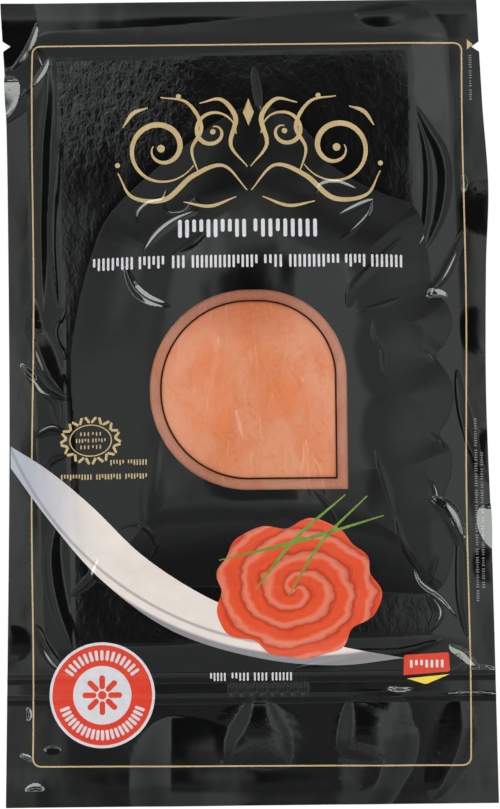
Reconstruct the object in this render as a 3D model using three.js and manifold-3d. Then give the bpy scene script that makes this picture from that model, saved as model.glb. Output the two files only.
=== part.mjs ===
// A vacuum pack of sliced smoked salmon, lying flat with its printed front up.
//
// Two webs of film are sealed together round a thin carrier board with the slices on it. The air is drawn out, so the
// film shows the board's edge as a low step and the slices as a mound. The front web has a clear window in its middle,
// and the fish shows through it. The film hides the board, so its body is part of the pouch.
//
// Millimetres. +Z is up and out of the printed front, +Y is the top of the pack, and X runs across it. The origin is
// the middle of the pack's box, on the surface that its flat back lies on.
import * as THREE from "three";
import Module from "manifold-3d";

const wasm = await Module();
wasm.setup();

// ---------------------------------------------------------------- driving sizes
const PACK_LENGTH = 246.4;
const HALF_LENGTH = PACK_LENGTH / 2;
// Each long edge as [y, x]: the filled middle draws the edges in, and the right one has a shoulder.
const LEFT_EDGE = [[-123.2, -74.3], [-20, -72.8], [40, -72.8], [92, -73.4], [123.2, -74.95]];
const RIGHT_EDGE = [[-123.2, 74.95], [-45, 74.1], [0, 73.1], [40, 73.7], [65, 74.8], [90, 73.4], [123.2, 72.0]];

const FILM = 0.5; // one web, as modelled
const SHEET = 0.6; // both webs, where they are sealed or lie on each other
const GAP = 0.3; // between pieces that touch

const BOARD = { width: 110, length: 181.4, rise: 0.8, x: -1.3, y: 16.8, turn: 1.6, bridge: 1.6 };

// The slices' outline, clockwise from the left end of the lower edge.
const MOUND = [
  [-46, -53.5], [-49.2, -43.5], [-51.2, -22], [-52.6, -3], [-53.2, 8], [-52, 22], [-47.2, 42], [-41.5, 55.6],
  [-28.2, 68.6], [-16.4, 78], [-6.2, 85.6], [3.8, 88.8], [13.1, 86], [19.6, 80.2], [24.4, 72.2], [33.5, 65.6],
  [43.5, 61.2], [51.8, 57.6], [54.8, 42], [56, 20], [56.2, -20], [55.6, -38], [52.6, -53.2], [20, -55], [-16, -54.8],
];
const MOUND_EDGE = 4.2; // rise over the rounded edge of the slices
const MOUND_EDGE_WIDTH = 13;
const MOUND_FOOT = 2; // the film leaves the board this far outside the slices
const MOUND_CROWN = 4.2; // further rise to the middle
const MOUND_REACH = 52;
const SLICE_STEP = { y: 66, drop: 0.5, width: 9 }; // the top slice ends here
const CONTENT_INSET = 2.5; // the room for the slices starts this far inside the mound's foot

const WINDOW = { left: -29.5, right: 30.3, bottom: -27.9, top: 32.8, leftRadius: 30, topRightRadius: 26.5 };

const SEAL_BAND = { top: -84.5, bottom: -90.8, lip: 0.35, lipWidth: 1.6 };
const FRAME_HALF_WIDTH = 65.5; // the side seals start here
const TOP_SEAL = 117.5;
const CURL = { height: 1.3, reach: 9, sideWave: 58, endWave: 47 };
const LEAST_LIFT = 0.2; // where the back would lift less than this, it lies flat
const NOTCH = { depth: 2.4, height: 3.2, leftY: 109.8, rightY: 108.4 };

// Folds in the film: a crest along a route, with a flat flank on each side. Left and right are as one walks the route.
const FOLDS = [
  // the long flutes beside the board, on the left
  { route: [[-60.3, 101], [-62.3, 81], [-63, 60], [-62.9, 31]], height: 0.7, left: 2.6, right: 3.2 },
  { route: [[-66, 30], [-66.3, 22], [-63.9, 15.8], [-56.3, 3]], height: 0.8, left: 5, right: 2 },
  { route: [[-64, -2], [-60, -8], [-59, -20], [-61, -27]], height: 1, left: 3.5, right: 3 },
  { route: [[-58, -36], [-60.6, -47], [-59.4, -60.5], [-54.9, -73.5]], height: 1.1, left: 3, right: 4 },
  // the smooth strip, the long lens and the bulges beside the board, on the right
  { route: [[53.2, 107], [54.4, 82]], height: 0.7, left: 11, right: 1.2 },
  { route: [[53.6, 88], [57.2, 80], [59.4, 69], [58.5, 58], [54.4, 47]], height: 1.7, left: 4.2, right: 4 },
  { route: [[66, 49], [62.7, 41.6], [59.5, 36], [55.5, 32]], height: 1, left: 3, right: 3.2 },
  { route: [[44, 24], [52, 24], [61.5, 22.5]], height: 1.3, left: 8, right: 8 },
  { route: [[54.5, 13.3], [59.6, 8], [62.9, 1], [60.6, -5.4], [56, -11.5]], height: 1.1, left: 2, right: 5.5 },
  { route: [[56.6, -13], [60, -19], [58, -27]], height: 0.9, left: 4, right: 4 },
  { route: [[56, -32], [60.5, -41], [60.5, -54], [56.5, -66]], height: 1.6, left: 4.5, right: 6 },
  // tents on the mound
  { route: [[47, 48.5], [40.3, 41.8], [34.8, 36.4], [30.6, 29]], height: 0.8, left: 5, right: 4 },
  { route: [[-14, 58], [-21.5, 54.3], [-30.7, 45.2]], height: 0.8, left: 4, right: 4 },
  { route: [[-37.4, 40], [-35.3, 34.3], [-30.8, 30.3], [-23, 27.6]], height: 0.6, left: 3, right: 4 },
  { route: [[3.2, 101.5], [4, 95.4], [4.8, 86]], height: 1.1, left: 2.6, right: 2.6 },
  { route: [[-44, -49], [-48, -53.9], [-53.5, -58.4]], height: 0.9, left: 2.6, right: 2.6 },
  { route: [[50, -52], [53.5, -57.8], [59.5, -62.7], [62.5, -66]], height: 0.9, left: 3, right: 2.6 },
  // the film that hangs from the board's lower edge
  { route: [[14, -82], [24, -80.2], [33, -78.2], [45.6, -77.7], [58, -74]], height: 0.9, left: 2.6, right: 3 },
  // the loose skirt
  { route: [[1.1, -91.5], [-0.6, -98], [-3.9, -104], [-7.4, -109.5]], height: 0.7, left: 2.4, right: 6.5 },
  { route: [[4.6, -91.5], [6, -98], [9.8, -102.4], [10.6, -111]], height: 0.7, left: 5, right: 2.4 },
  { route: [[31, -91.5], [30.6, -102], [28, -108]], height: 0.7, left: 2.4, right: 6 },
  { route: [[44.8, -92], [41.2, -98], [41.2, -104], [38.5, -113], [33, -126]], height: 1.1, left: 13, right: 2.6 },
  { route: [[62, -92], [64, -100.5], [61.5, -110], [56, -121]], height: 0.8, left: 6, right: 3 },
  { route: [[-23.6, -100], [-23.2, -114], [-23.8, -127]], height: 1, left: 2.6, right: 14 },
];

// The crests of the seal band's ribs stand across it.
const RIBS = { from: -7, to: 18, pitch: 3.1, height: 0.25 };

// Grid lines of the film, closest where its shape changes most: [from, to, steps].
const COLUMNS = [[0, 0.075, 3], [0.075, 0.2, 8], [0.2, 0.8, 16], [0.8, 0.93, 9], [0.93, 1, 4]];
const ROWS = [[-1, -0.75, 10], [-0.75, -0.39, 16], [-0.39, 0.35, 17], [0.35, 0.82, 18], [0.82, 1, 7]];
const BACK_STRIDE = 2; // the plain back keeps every second grid line
const INNER_STRIDE = 4; // and the flat inner faces every fourth

// ---------------------------------------------------------------- small maths
const clamp = (v, low, high) => Math.min(Math.max(v, low), high);
const smooth = (v) => THREE.MathUtils.smoothstep(v, 0, 1);

/** The value at t of a smooth line through [t, value] knots. */
function through(knots, t) {
  let i = 0;
  while (i < knots.length - 2 && t > knots[i + 1][0]) i++;
  const [a, b] = [knots[i], knots[i + 1]];
  const slope = (p, q) => (q[1] - p[1]) / (q[0] - p[0]);
  const start = i > 0 ? slope(knots[i - 1], b) : slope(a, b);
  const end = i + 2 < knots.length ? slope(a, knots[i + 2]) : slope(a, b);
  const span = b[0] - a[0];
  const s = clamp((t - a[0]) / span, 0, 1);
  const [s2, s3] = [s * s, s * s * s];
  return (
    (2 * s3 - 3 * s2 + 1) * a[1] + (s3 - 2 * s2 + s) * span * start +
    (3 * s2 - 2 * s3) * b[1] + (s3 - s2) * span * end
  );
}

/** A smooth curve through the points, as a list of points close together. */
function curvePoints(points, closed, count) {
  const curve = new THREE.CatmullRomCurve3(points.map(([x, y]) => new THREE.Vector3(x, y, 0)), closed, "centripetal");
  return curve.getPoints(count).map((p) => [p.x, p.y]);
}

/** The nearest place on a chain of points: its distance, which side it is on (+1 left), and how far along, 0 to 1. */
function nearest(chain, x, y) {
  let best = { distance: Infinity, side: 1, along: 0 };
  for (let i = 0; i + 1 < chain.length; i++) {
    const [[ax, ay], [bx, by]] = [chain[i], chain[i + 1]];
    const [dx, dy] = [bx - ax, by - ay];
    const t = clamp(((x - ax) * dx + (y - ay) * dy) / (dx * dx + dy * dy), 0, 1);
    const distance = Math.hypot(x - ax - t * dx, y - ay - t * dy);
    if (distance < best.distance) {
      const side = dx * (y - ay) - dy * (x - ax) >= 0 ? 1 : -1;
      best = { distance, side, along: (i + t) / (chain.length - 1) };
    }
  }
  return best;
}

const leftEdge = (y) => through(LEFT_EDGE, y);
const rightEdge = (y) => through(RIGHT_EDGE, y);

// ---------------------------------------------------------------- the film's shape
const moundOutline = curvePoints(MOUND, true, 140);
const folds = FOLDS.map((fold) => ({ ...fold, chain: curvePoints(fold.route, false, 12) }));

/** How far inside the slices' outline a point is, negative outside. */
function insideMound(x, y) {
  const { distance, side } = nearest(moundOutline, x, y);
  return side < 0 ? distance : -distance; // the outline runs clockwise, so its inside is on the right
}

/** Height of the step over the carrier board, above the sealed sheet. */
function boardRise(x, y) {
  const turn = THREE.MathUtils.degToRad(BOARD.turn);
  const [dx, dy] = [x - BOARD.x, y - BOARD.y];
  const across = Math.abs(dx * Math.cos(turn) + dy * Math.sin(turn)) - BOARD.width / 2;
  const along = Math.abs(dy * Math.cos(turn) - dx * Math.sin(turn)) - BOARD.length / 2;
  const outside = Math.hypot(Math.max(across, 0), Math.max(along, 0));
  return BOARD.rise * (1 - smooth(outside / BOARD.bridge));
}

/** Height of the mound over the slices, above the board. */
function moundRise(x, y) {
  const inside = insideMound(x, y);
  const edge = clamp((inside + MOUND_FOOT) / MOUND_EDGE_WIDTH, 0, 1);
  const crown = clamp(inside / MOUND_REACH, 0, 1);
  const step = SLICE_STEP.drop * smooth((y - SLICE_STEP.y) / SLICE_STEP.width + 0.5);
  return MOUND_EDGE * smooth(edge) + MOUND_CROWN * crown * (2 - crown) - step * edge;
}

/** Height of the highest fold at a point. */
function foldRise(x, y) {
  let rise = 0;
  for (const { chain, height, left, right } of folds) {
    const { distance, side, along } = nearest(chain, x, y);
    const size = Math.sqrt(4 * along * (1 - along));
    const width = (side > 0 ? left : right) * Math.max(size, 1e-3);
    rise = Math.max(rise, height * size * (1 - distance / width));
  }
  return rise;
}

/** 1 where the two webs lie on each other, 0 over the contents. */
function sheetShare(x, y) {
  const sides = smooth((Math.abs(x) - FRAME_HALF_WIDTH) / 4 + 0.5);
  const skirt = smooth((SEAL_BAND.top - y) / 4 + 0.5);
  const top = smooth((y - TOP_SEAL) / 4 + 0.5);
  return Math.max(sides, skirt, top);
}

/** How far the seals and the skirt curl up off the surface that the pack lies on. */
function curl(x, y) {
  const side = smooth((CURL.reach - Math.min(x - leftEdge(y), rightEdge(y) - x)) / CURL.reach);
  const end = smooth((CURL.reach - (HALF_LENGTH - Math.abs(y))) / CURL.reach);
  const sideWave = 0.5 + 0.5 * Math.sin((2 * Math.PI * y) / CURL.sideWave + (x > 0 ? 1.9 : 0.4));
  const endWave = 0.5 + 0.5 * Math.sin((2 * Math.PI * x) / CURL.endWave + (y > 0 ? 0.7 : 2.6));
  return CURL.height * Math.max(side * sideWave, end * endWave);
}

/** The raised lips of the vacuum seal and the ribs across it. */
function sealRelief(x, y) {
  const middle = (SEAL_BAND.top + SEAL_BAND.bottom) / 2;
  const half = (SEAL_BAND.top - SEAL_BAND.bottom) / 2;
  const lip = SEAL_BAND.lip * Math.max(0, 1 - Math.abs(Math.abs(y - middle) - half) / SEAL_BAND.lipWidth);
  const across = Math.max(0, 1 - Math.abs(y - middle) / half);
  const ribbed = x > RIBS.from && x < RIBS.to ? 0.5 - 0.5 * Math.cos((2 * Math.PI * (x - RIBS.from)) / RIBS.pitch) : 0;
  return lip + RIBS.height * across * ribbed;
}

/** Underside of the sealed webs: they curl and fold together. */
const sheetHeight = (x, y) => curl(x, y) + foldRise(x, y) * sheetShare(x, y);

/** Top of the pack's film. */
function frontHeight(x, y) {
  const contents = boardRise(x, y) + moundRise(x, y);
  return SHEET + curl(x, y) + foldRise(x, y) + sealRelief(x, y) + contents;
}

// ---------------------------------------------------------------- solids
/** Evenly spaced values over each [from, to, steps] stretch. */
function gridLines(stretches) {
  const lines = [stretches[0][0]];
  for (const [from, to, steps] of stretches)
    for (let i = 1; i <= steps; i++) lines.push(from + ((to - from) * i) / steps);
  return lines;
}

const columns = gridLines(COLUMNS);
const rows = gridLines(ROWS).map((share) => share * HALF_LENGTH);

/** The place in plan of a grid crossing. */
function crossing(i, j) {
  const y = rows[j];
  return [THREE.MathUtils.lerp(leftEdge(y), rightEdge(y), columns[i]), y];
}

const heights = rows.map((_, j) => columns.map((_, i) => frontHeight(...crossing(i, j))));
const sheetHeights = rows.map((_, j) => columns.map((_, i) => sheetHeight(...crossing(i, j))));

/** The back's height at a crossing: the lowest one nearby, so that the coarser back never meets the front. */
function backTop(i, j) {
  const near = (line, k) => line.slice(Math.max(k - BACK_STRIDE, 0), k + BACK_STRIDE + 1);
  const lift = Math.min(...near(sheetHeights, j).flatMap((line) => near(line, i)));
  return lift < LEAST_LIFT ? 0 : lift;
}

/** A closed mesh as a manifold-3d solid. */
function solidOf(positions, triangles) {
  const mesh = new wasm.Mesh({
    numProp: 3,
    vertProperties: new Float32Array(positions),
    triVerts: new Uint32Array(triangles),
  });
  return new wasm.Manifold(mesh);
}

/** The solid between top(i, j) and bottom(i, j) over a block of the grid. Its underside keeps every stride-th line. */
function slab([[i0, j0], [i1, j1]], top, bottom, stride) {
  const positions = [];
  const triangles = [];
  const upper = new Map();
  const lower = new Map();
  const vertex = (seen, height) => (i, j) => {
    const key = `${i},${j}`;
    if (!seen.has(key)) {
      seen.set(key, positions.length / 3);
      positions.push(...crossing(i, j), height(i, j));
    }
    return seen.get(key);
  };
  const above = vertex(upper, top);
  const below = vertex(lower, bottom);
  for (let j = j0; j < j1; j++)
    for (let i = i0; i < i1; i++) {
      const [a, b, c, d] = [above(i, j), above(i + 1, j), above(i + 1, j + 1), above(i, j + 1)];
      triangles.push(a, b, c, a, c, d);
    }
  for (let j = j0; j < j1; j += stride)
    for (let i = i0; i < i1; i += stride) {
      const [a, b] = [below(i, j), below(i + stride, j)];
      const [c, d] = [below(i + stride, j + stride), below(i, j + stride)];
      triangles.push(a, c, b, a, d, c);
    }
  // The walls, walked with the solid on the left.
  const wall = (i, j, di, dj) => {
    const near = below(i, j);
    const far = below(i + di * stride, j + dj * stride);
    for (let k = 0; k < stride; k++)
      triangles.push(near, above(i + di * (k + 1), j + dj * (k + 1)), above(i + di * k, j + dj * k));
    triangles.push(near, far, above(i + di * stride, j + dj * stride));
  };
  for (let i = i0; i < i1; i += stride) wall(i, j0, 1, 0);
  for (let j = j0; j < j1; j += stride) wall(i1, j, 0, 1);
  for (let i = i1; i > i0; i -= stride) wall(i, j1, -1, 0);
  for (let j = j1; j > j0; j -= stride) wall(i0, j, 0, -1);
  return solidOf(positions, triangles);
}

/** A prism of an outline, from low to high. */
function prism(outline, low, high) {
  const shape = new THREE.Shape(outline.map(([x, y]) => new THREE.Vector2(x, y)));
  const geometry = new THREE.ExtrudeGeometry(shape, { depth: high - low, bevelEnabled: false, steps: 1 });
  geometry.translate(0, 0, low);
  return solidOfGeometry(geometry);
}

/** A geometry without an index as a solid, with the vertices that share a place merged. */
function solidOfGeometry(geometry) {
  const corners = geometry.getAttribute("position");
  const found = new Map();
  const positions = [];
  const triangles = [];
  for (let i = 0; i < corners.count; i++) {
    const place = [corners.getX(i), corners.getY(i), corners.getZ(i)];
    const key = place.map((v) => v.toFixed(4)).join();
    if (!found.has(key)) {
      found.set(key, found.size);
      positions.push(...place);
    }
    triangles.push(found.get(key));
  }
  return solidOf(positions, triangles);
}

/** The window's outline, drawn in by inset: round at the left and the upper right, square at the lower right. */
function windowOutline(inset) {
  const { left, right, bottom, top, leftRadius, topRightRadius } = WINDOW;
  const shape = new THREE.Shape();
  const radius = leftRadius - inset;
  shape.moveTo(right - inset, bottom + inset);
  shape.lineTo(right - inset, top - topRightRadius);
  shape.absarc(right - topRightRadius, top - topRightRadius, topRightRadius - inset, 0, Math.PI / 2);
  shape.lineTo(left + leftRadius, top - inset);
  shape.absarc(left + leftRadius, top - leftRadius, radius, Math.PI / 2, Math.PI);
  shape.lineTo(left + inset, bottom + leftRadius);
  shape.absarc(left + leftRadius, bottom + leftRadius, radius, Math.PI, 1.5 * Math.PI);
  return shape.getPoints(10).map((p) => [p.x, p.y]);
}

/** The slices' outline, drawn in by inset. */
function contentOutline(inset) {
  const points = curvePoints(MOUND, true, 72).slice(0, -1);
  return points.map(([x, y], i) => {
    const [ax, ay] = points.at(i - 1);
    const [bx, by] = points[(i + 1) % points.length];
    const length = Math.hypot(bx - ax, by - ay);
    return [x + ((by - ay) / length) * inset, y - ((bx - ax) / length) * inset];
  });
}

/** A tear notch: a small V cut into a long edge at height y. */
function notch(edge, y, inward) {
  const x = edge(y);
  const out = x - inward;
  const half = NOTCH.height / 2;
  const points = [[x + inward * NOTCH.depth, y], [out, y + half * 1.3], [out, y - half * 1.3]];
  return prism(inward > 0 ? points : points.reverse(), -1, 5);
}

const lastColumn = columns.length - 1;
const lastRow = rows.length - 1;
const whole = [[0, 0], [lastColumn, lastRow]];
const boardTop = SHEET + BOARD.rise - FILM / 2;

/** The film's height at a crossing, lowered by depth. */
const filmTop = (depth) => (i, j) => heights[j][i] - depth;
const level = (z) => () => z;

/** The block of the grid round the slices, which the room for them and the slices share. */
function contentBlock() {
  const xs = MOUND.map(([x]) => x);
  const ys = MOUND.map(([, y]) => y);
  const down = (k) => Math.floor(k / INNER_STRIDE) * INNER_STRIDE;
  const up = (k) => Math.ceil(k / INNER_STRIDE) * INNER_STRIDE;
  const share = (x) => (x / rightEdge(0) + 1) / 2;
  return [
    [
      down(columns.findIndex((c) => c > share(Math.min(...xs))) - 1),
      down(rows.findIndex((y) => y > Math.min(...ys)) - 1),
    ],
    [
      up(columns.findIndex((c) => c > share(Math.max(...xs)))),
      up(rows.findIndex((y) => y > Math.max(...ys))),
    ],
  ];
}

const block = contentBlock();

function makePouch() {
  const outer = slab(whole, filmTop(0), backTop, BACK_STRIDE);
  const room = slab(block, filmTop(FILM), level(boardTop), INNER_STRIDE);
  const opening = prism(windowOutline(0), boardTop + FILM, 20);
  return outer
    .subtract(room.intersect(prism(contentOutline(CONTENT_INSET), 0, 20)))
    .subtract(opening)
    .subtract(notch(leftEdge, NOTCH.leftY, 1))
    .subtract(notch(rightEdge, NOTCH.rightY, -1));
}

function makeSalmon() {
  const fish = slab(block, filmTop(FILM + GAP), level(boardTop + GAP), INNER_STRIDE);
  return fish.intersect(prism(contentOutline(CONTENT_INSET + GAP), 0, 20));
}

function makeWindowFilm() {
  const film = slab(block, filmTop(0), filmTop(FILM), 1);
  return film.intersect(prism(windowOutline(GAP), 0, 20));
}

/** A solid as a named mesh. */
function meshOf(name, solid, material) {
  const { numProp, numVert, vertProperties, triVerts } = solid.getMesh();
  const positions = new Float32Array(numVert * 3);
  for (let i = 0; i < numVert; i++) positions.set(vertProperties.subarray(i * numProp, i * numProp + 3), i * 3);
  const geometry = new THREE.BufferGeometry();
  geometry.setAttribute("position", new THREE.BufferAttribute(positions, 3));
  geometry.setIndex(new THREE.BufferAttribute(triVerts, 1));
  geometry.computeVertexNormals();
  const mesh = new THREE.Mesh(geometry, new THREE.MeshStandardMaterial(material));
  mesh.name = name;
  return mesh;
}

const pack = new THREE.Group();
pack.add(
  meshOf("pouch", makePouch(), { color: 0x1c1d1c, roughness: 0.2, metalness: 0 }),
  meshOf("salmon", makeSalmon(), { color: 0xdb8a64, roughness: 0.4, metalness: 0 }),
  meshOf("window_film", makeWindowFilm(), { color: 0xf4efec, roughness: 0.1, metalness: 0, transparent: true, opacity: 0.25 }),
);

export default pack;
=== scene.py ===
"""The looks of a vacuum pack of sliced smoked salmon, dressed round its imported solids.

Two webs of glossy film are sealed round a thin carrier board with the slices on it. The front web is printed
black, with a clear window in its middle. The air is drawn out, so the film shows the board as a low step, the
slices as a mound, and creases where it has to lose width.

Lengths are millimetres until a mesh is made, and metres in it. +Z is out of the printed front, and +Y is towards
the top of the pack.
"""

import logging
import math
from collections.abc import Callable, Sequence
from dataclasses import dataclass, field
from enum import Enum
from typing import Protocol

import bpy
import numpy as np
from mathutils import Matrix, Vector
from mathutils.geometry import delaunay_2d_cdt


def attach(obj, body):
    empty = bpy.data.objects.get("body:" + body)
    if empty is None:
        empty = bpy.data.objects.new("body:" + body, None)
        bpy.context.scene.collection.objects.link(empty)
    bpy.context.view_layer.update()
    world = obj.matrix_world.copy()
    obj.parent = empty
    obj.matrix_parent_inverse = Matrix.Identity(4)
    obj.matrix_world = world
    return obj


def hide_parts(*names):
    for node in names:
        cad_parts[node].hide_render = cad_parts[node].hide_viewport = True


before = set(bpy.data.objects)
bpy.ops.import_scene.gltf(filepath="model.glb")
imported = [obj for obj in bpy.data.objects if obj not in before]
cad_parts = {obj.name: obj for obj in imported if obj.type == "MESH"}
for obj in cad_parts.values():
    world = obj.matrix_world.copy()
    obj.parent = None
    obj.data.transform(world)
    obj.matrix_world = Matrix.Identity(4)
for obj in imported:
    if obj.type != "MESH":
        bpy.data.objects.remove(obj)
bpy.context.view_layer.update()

Array = np.ndarray
Point = tuple[float, float]
Height = Callable[[Array, Array], Array]

MM = 0.001
# How many steps a fold's route and the slices' outline are cut into.
FOLD_STEPS = 12
MOUND_STEPS = 140
# How far the foot of a soft fold is rounded, as a share of its height.
SOFT_FOOT = 0.3
# How a fold narrows and sinks towards its two ends: the powers of a hump that is 1 in its middle.
NARROWING = 0.5
SINKING = 0.75
# How many heights a ripple's lattice has along each side.
RIPPLE_LATTICE = 400

log = logging.getLogger("salmon_pack")


# ---------------------------------------------------------------- small maths
def smooth(t: Array | float) -> Array:
    """A ramp from 0 to 1 that starts and ends level."""
    t = np.clip(t, 0.0, 1.0)
    return t * t * (3.0 - 2.0 * t)


def rounded(t: Array, bend: float) -> Array:
    """A straight line from 0 to 1 whose start is rounded over about the bend."""
    return (np.sqrt(t * t + bend**2) - bend) / (math.sqrt(1 + bend**2) - bend)


def soft_ramp(t: Array | float, bend: float) -> Array | float:
    """A straight ramp from about 0 to about 1 whose two ends are rounded over about the bend."""
    return (np.sqrt(t**2 + bend**2) - np.sqrt((t - 1) ** 2 + bend**2) + 1) / 2


def through(knots: Sequence[Point], t: Array) -> Array:
    """Reads a smooth line through knots.

    Args:
        knots: (place, value) pairs in rising order of place.
        t: the places to read.

    Returns:
        The value at each place.
    """
    places = np.array([k[0] for k in knots], float)
    values = np.array([k[1] for k in knots], float)
    slopes = np.diff(values) / np.diff(places)
    middle = (values[2:] - values[:-2]) / (places[2:] - places[:-2])
    tangents = np.concatenate([slopes[:1], middle, slopes[-1:]])
    i = np.clip(np.searchsorted(places, t) - 1, 0, len(places) - 2)
    span = places[i + 1] - places[i]
    s = np.clip((t - places[i]) / span, 0.0, 1.0)
    s2, s3 = s * s, s * s * s
    start = (2 * s3 - 3 * s2 + 1) * values[i] + (s3 - 2 * s2 + s) * span * tangents[i]
    end = (3 * s2 - 2 * s3) * values[i + 1] + (s3 - s2) * span * tangents[i + 1]
    return start + end


def curve(points: Sequence[Point], count: int, closed: bool = False) -> Array:
    """Runs a centripetal Catmull-Rom curve through the points.

    Args:
        points: the places that the curve passes through.
        count: how many steps it is cut into.
        closed: whether it returns to its first point.

    Returns:
        An array of count + 1 places, x and y.
    """
    p = np.array(points, float)
    if closed:
        padded = np.vstack([p[-1:], p, p[:2]])
        spans = len(p)
    else:
        padded = np.vstack([2 * p[0] - p[1], p, 2 * p[-1] - p[-2]])
        spans = len(p) - 1
    out = []
    for step in range(count + 1):
        t = step / count * spans
        i = min(int(t), spans - 1)
        u = t - i
        a, b, c, d = padded[i : i + 4]
        t0, t1, t2 = (max(float(np.linalg.norm(q - r)) ** 0.5, 1e-4) for q, r in ((b, a), (c, b), (d, c)))
        m1 = ((b - a) / t0 - (c - a) / (t0 + t1) + (c - b) / t1) * t1
        m2 = ((c - b) / t1 - (d - b) / (t1 + t2) + (d - c) / t2) * t1
        u2, u3 = u * u, u * u * u
        out.append((2 * u3 - 3 * u2 + 1) * b + (u3 - 2 * u2 + u) * m1 + (3 * u2 - 2 * u3) * c + (u3 - u2) * m2)
    return np.array(out)


def nearest(chain: Array, x: Array, y: Array) -> tuple[Array, Array, Array]:
    """Finds the nearest place on a chain of points.

    Args:
        chain: the chain's points in order.
        x: places across.
        y: places along.

    Returns:
        The distance, the side (+1 on the left of the chain, -1 on its right), and how far along, 0 to 1.
    """
    best = np.full(x.shape, np.inf)
    side = np.ones(x.shape)
    along = np.zeros(x.shape)
    for i, (a, b) in enumerate(zip(chain[:-1], chain[1:])):
        dx, dy = b - a
        t = np.clip(((x - a[0]) * dx + (y - a[1]) * dy) / (dx * dx + dy * dy), 0.0, 1.0)
        distance = np.hypot(x - a[0] - t * dx, y - a[1] - t * dy)
        closer = distance < best
        best = np.where(closer, distance, best)
        side = np.where(closer, np.where(dx * (y - a[1]) - dy * (x - a[0]) >= 0, 1.0, -1.0), side)
        along = np.where(closer, (i + t) / (len(chain) - 1), along)
    return best, side, along


# ---------------------------------------------------------------- the film's shape
class Flank(Enum):
    """How a fold's side falls from its crest."""

    FACET = "facet"
    ROUND = "round"
    PINCH = "pinch"
    SOFT = "soft"


@dataclass(frozen=True)
class Fold:
    """A crease that stands up from the film along a route.

    Left and right are the widths of its two sides, as one walks the route. Blunt is the share of them that rounds
    the crest.
    """

    route: tuple[Point, ...]
    height: float
    left: float
    right: float
    flank: Flank = Flank.FACET
    blunt: float = 0.12

    def rise(self, x: Array, y: Array) -> Array:
        """Works out the fold's height.

        Args:
            x: places across.
            y: places along.

        Returns:
            The height at each place, 0 away from the fold.
        """
        chain = curve(self.route, FOLD_STEPS)
        reach = max(self.left, self.right)
        low, high = chain.min(0) - reach, chain.max(0) + reach
        near = (x > low[0]) & (x < high[0]) & (y > low[1]) & (y < high[1])
        out = np.zeros(x.shape)
        if not near.any():
            return out
        distance, side, along = nearest(chain, x[near], y[near])
        hump = np.clip(4 * along * (1 - along), 1e-6, 1)
        away = distance / (np.where(side > 0, self.left, self.right) * hump**NARROWING)
        fall = np.clip(1 - rounded(away, self.blunt), 0, 1)
        soft = rounded(fall, SOFT_FOOT)
        shapes = {Flank.FACET: fall, Flank.ROUND: smooth(fall), Flank.PINCH: fall * fall, Flank.SOFT: soft}
        out[near] = self.height * hump**SINKING * shapes[self.flank]
        return out


@dataclass(frozen=True)
class Ripple:
    """A gentle unevenness: smooth random heights on a lattice.

    Cell is the lattice's (x, y) spacing, and depth the most that it rises or falls.
    """

    cell: Point
    depth: float
    seed: int

    def rise(self, x: Array, y: Array) -> Array:
        """Works out the ripple's height.

        Args:
            x: places across.
            y: places along.

        Returns:
            The height at each place.
        """
        middle = RIPPLE_LATTICE // 2
        u, v = x / self.cell[0] + middle, y / self.cell[1] + middle
        i, j = np.floor(u).astype(int), np.floor(v).astype(int)
        lattice = np.random.default_rng(self.seed).uniform(-1, 1, (RIPPLE_LATTICE, RIPPLE_LATTICE))
        s, t = smooth(u - i), smooth(v - j)
        low = lattice[i, j] * (1 - s) + lattice[i + 1, j] * s
        high = lattice[i, j + 1] * (1 - s) + lattice[i + 1, j + 1] * s
        return self.depth * (low * (1 - t) + high * t)


@dataclass(frozen=True)
class Window:
    """The clear window: round at the left and the upper right, square at the lower right."""

    left: float = -29.5
    right: float = 30.3
    bottom: float = -27.9
    top: float = 32.8
    left_radius: float = 30.0
    top_right_radius: float = 26.5
    line_inset: float = 3.4
    line_width: float = 0.5

    def outline(self, inset: float = 0.0, step: float = 0.6) -> Array:
        """Draws the window's outline.

        Args:
            inset: how far it is drawn in.
            step: the spacing of its points.

        Returns:
            Its points in order, anticlockwise from the lower right corner.
        """
        left, right, bottom, top = self.left + inset, self.right - inset, self.bottom + inset, self.top - inset
        big, small = self.left_radius, self.top_right_radius
        points = [np.array([[right, bottom]])]
        corners = (
            (self.right - small, self.top - small, small - inset, 0.0),
            (self.left + big, self.top - big, big - inset, 90.0),
            (self.left + big, self.bottom + big, big - inset, 180.0),
        )
        for cx, cy, radius, start in corners:
            angles = np.radians(start + np.linspace(0, 90, max(int(radius * math.pi / 2 / step), 8)))
            points.append(np.stack([cx + radius * np.cos(angles), cy + radius * np.sin(angles)], 1))
        return evenly(np.vstack(points), step)

    def inside(self, x: Array, y: Array) -> Array:
        """Measures how far inside the outline each place is.

        Args:
            x: places across.
            y: places along.

        Returns:
            The distance, below zero outside.
        """
        chain = self.outline()
        distance, side, _ = nearest(np.vstack([chain, chain[:1]]), x, y)
        return distance * side


def evenly(loop: Array, step: float) -> Array:
    """Puts points on a closed loop at even steps, keeping its corners' run.

    Args:
        loop: the loop's points in order.
        step: about how far apart the new points are.

    Returns:
        The new points, without the first repeated.
    """
    closed = np.vstack([loop, loop[:1]])
    lengths = np.concatenate([[0], np.cumsum(np.linalg.norm(np.diff(closed, axis=0), axis=1))])
    at = np.linspace(0, lengths[-1], int(lengths[-1] / step), endpoint=False)
    return np.stack([np.interp(at, lengths, closed[:, k]) for k in range(2)], 1)


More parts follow.
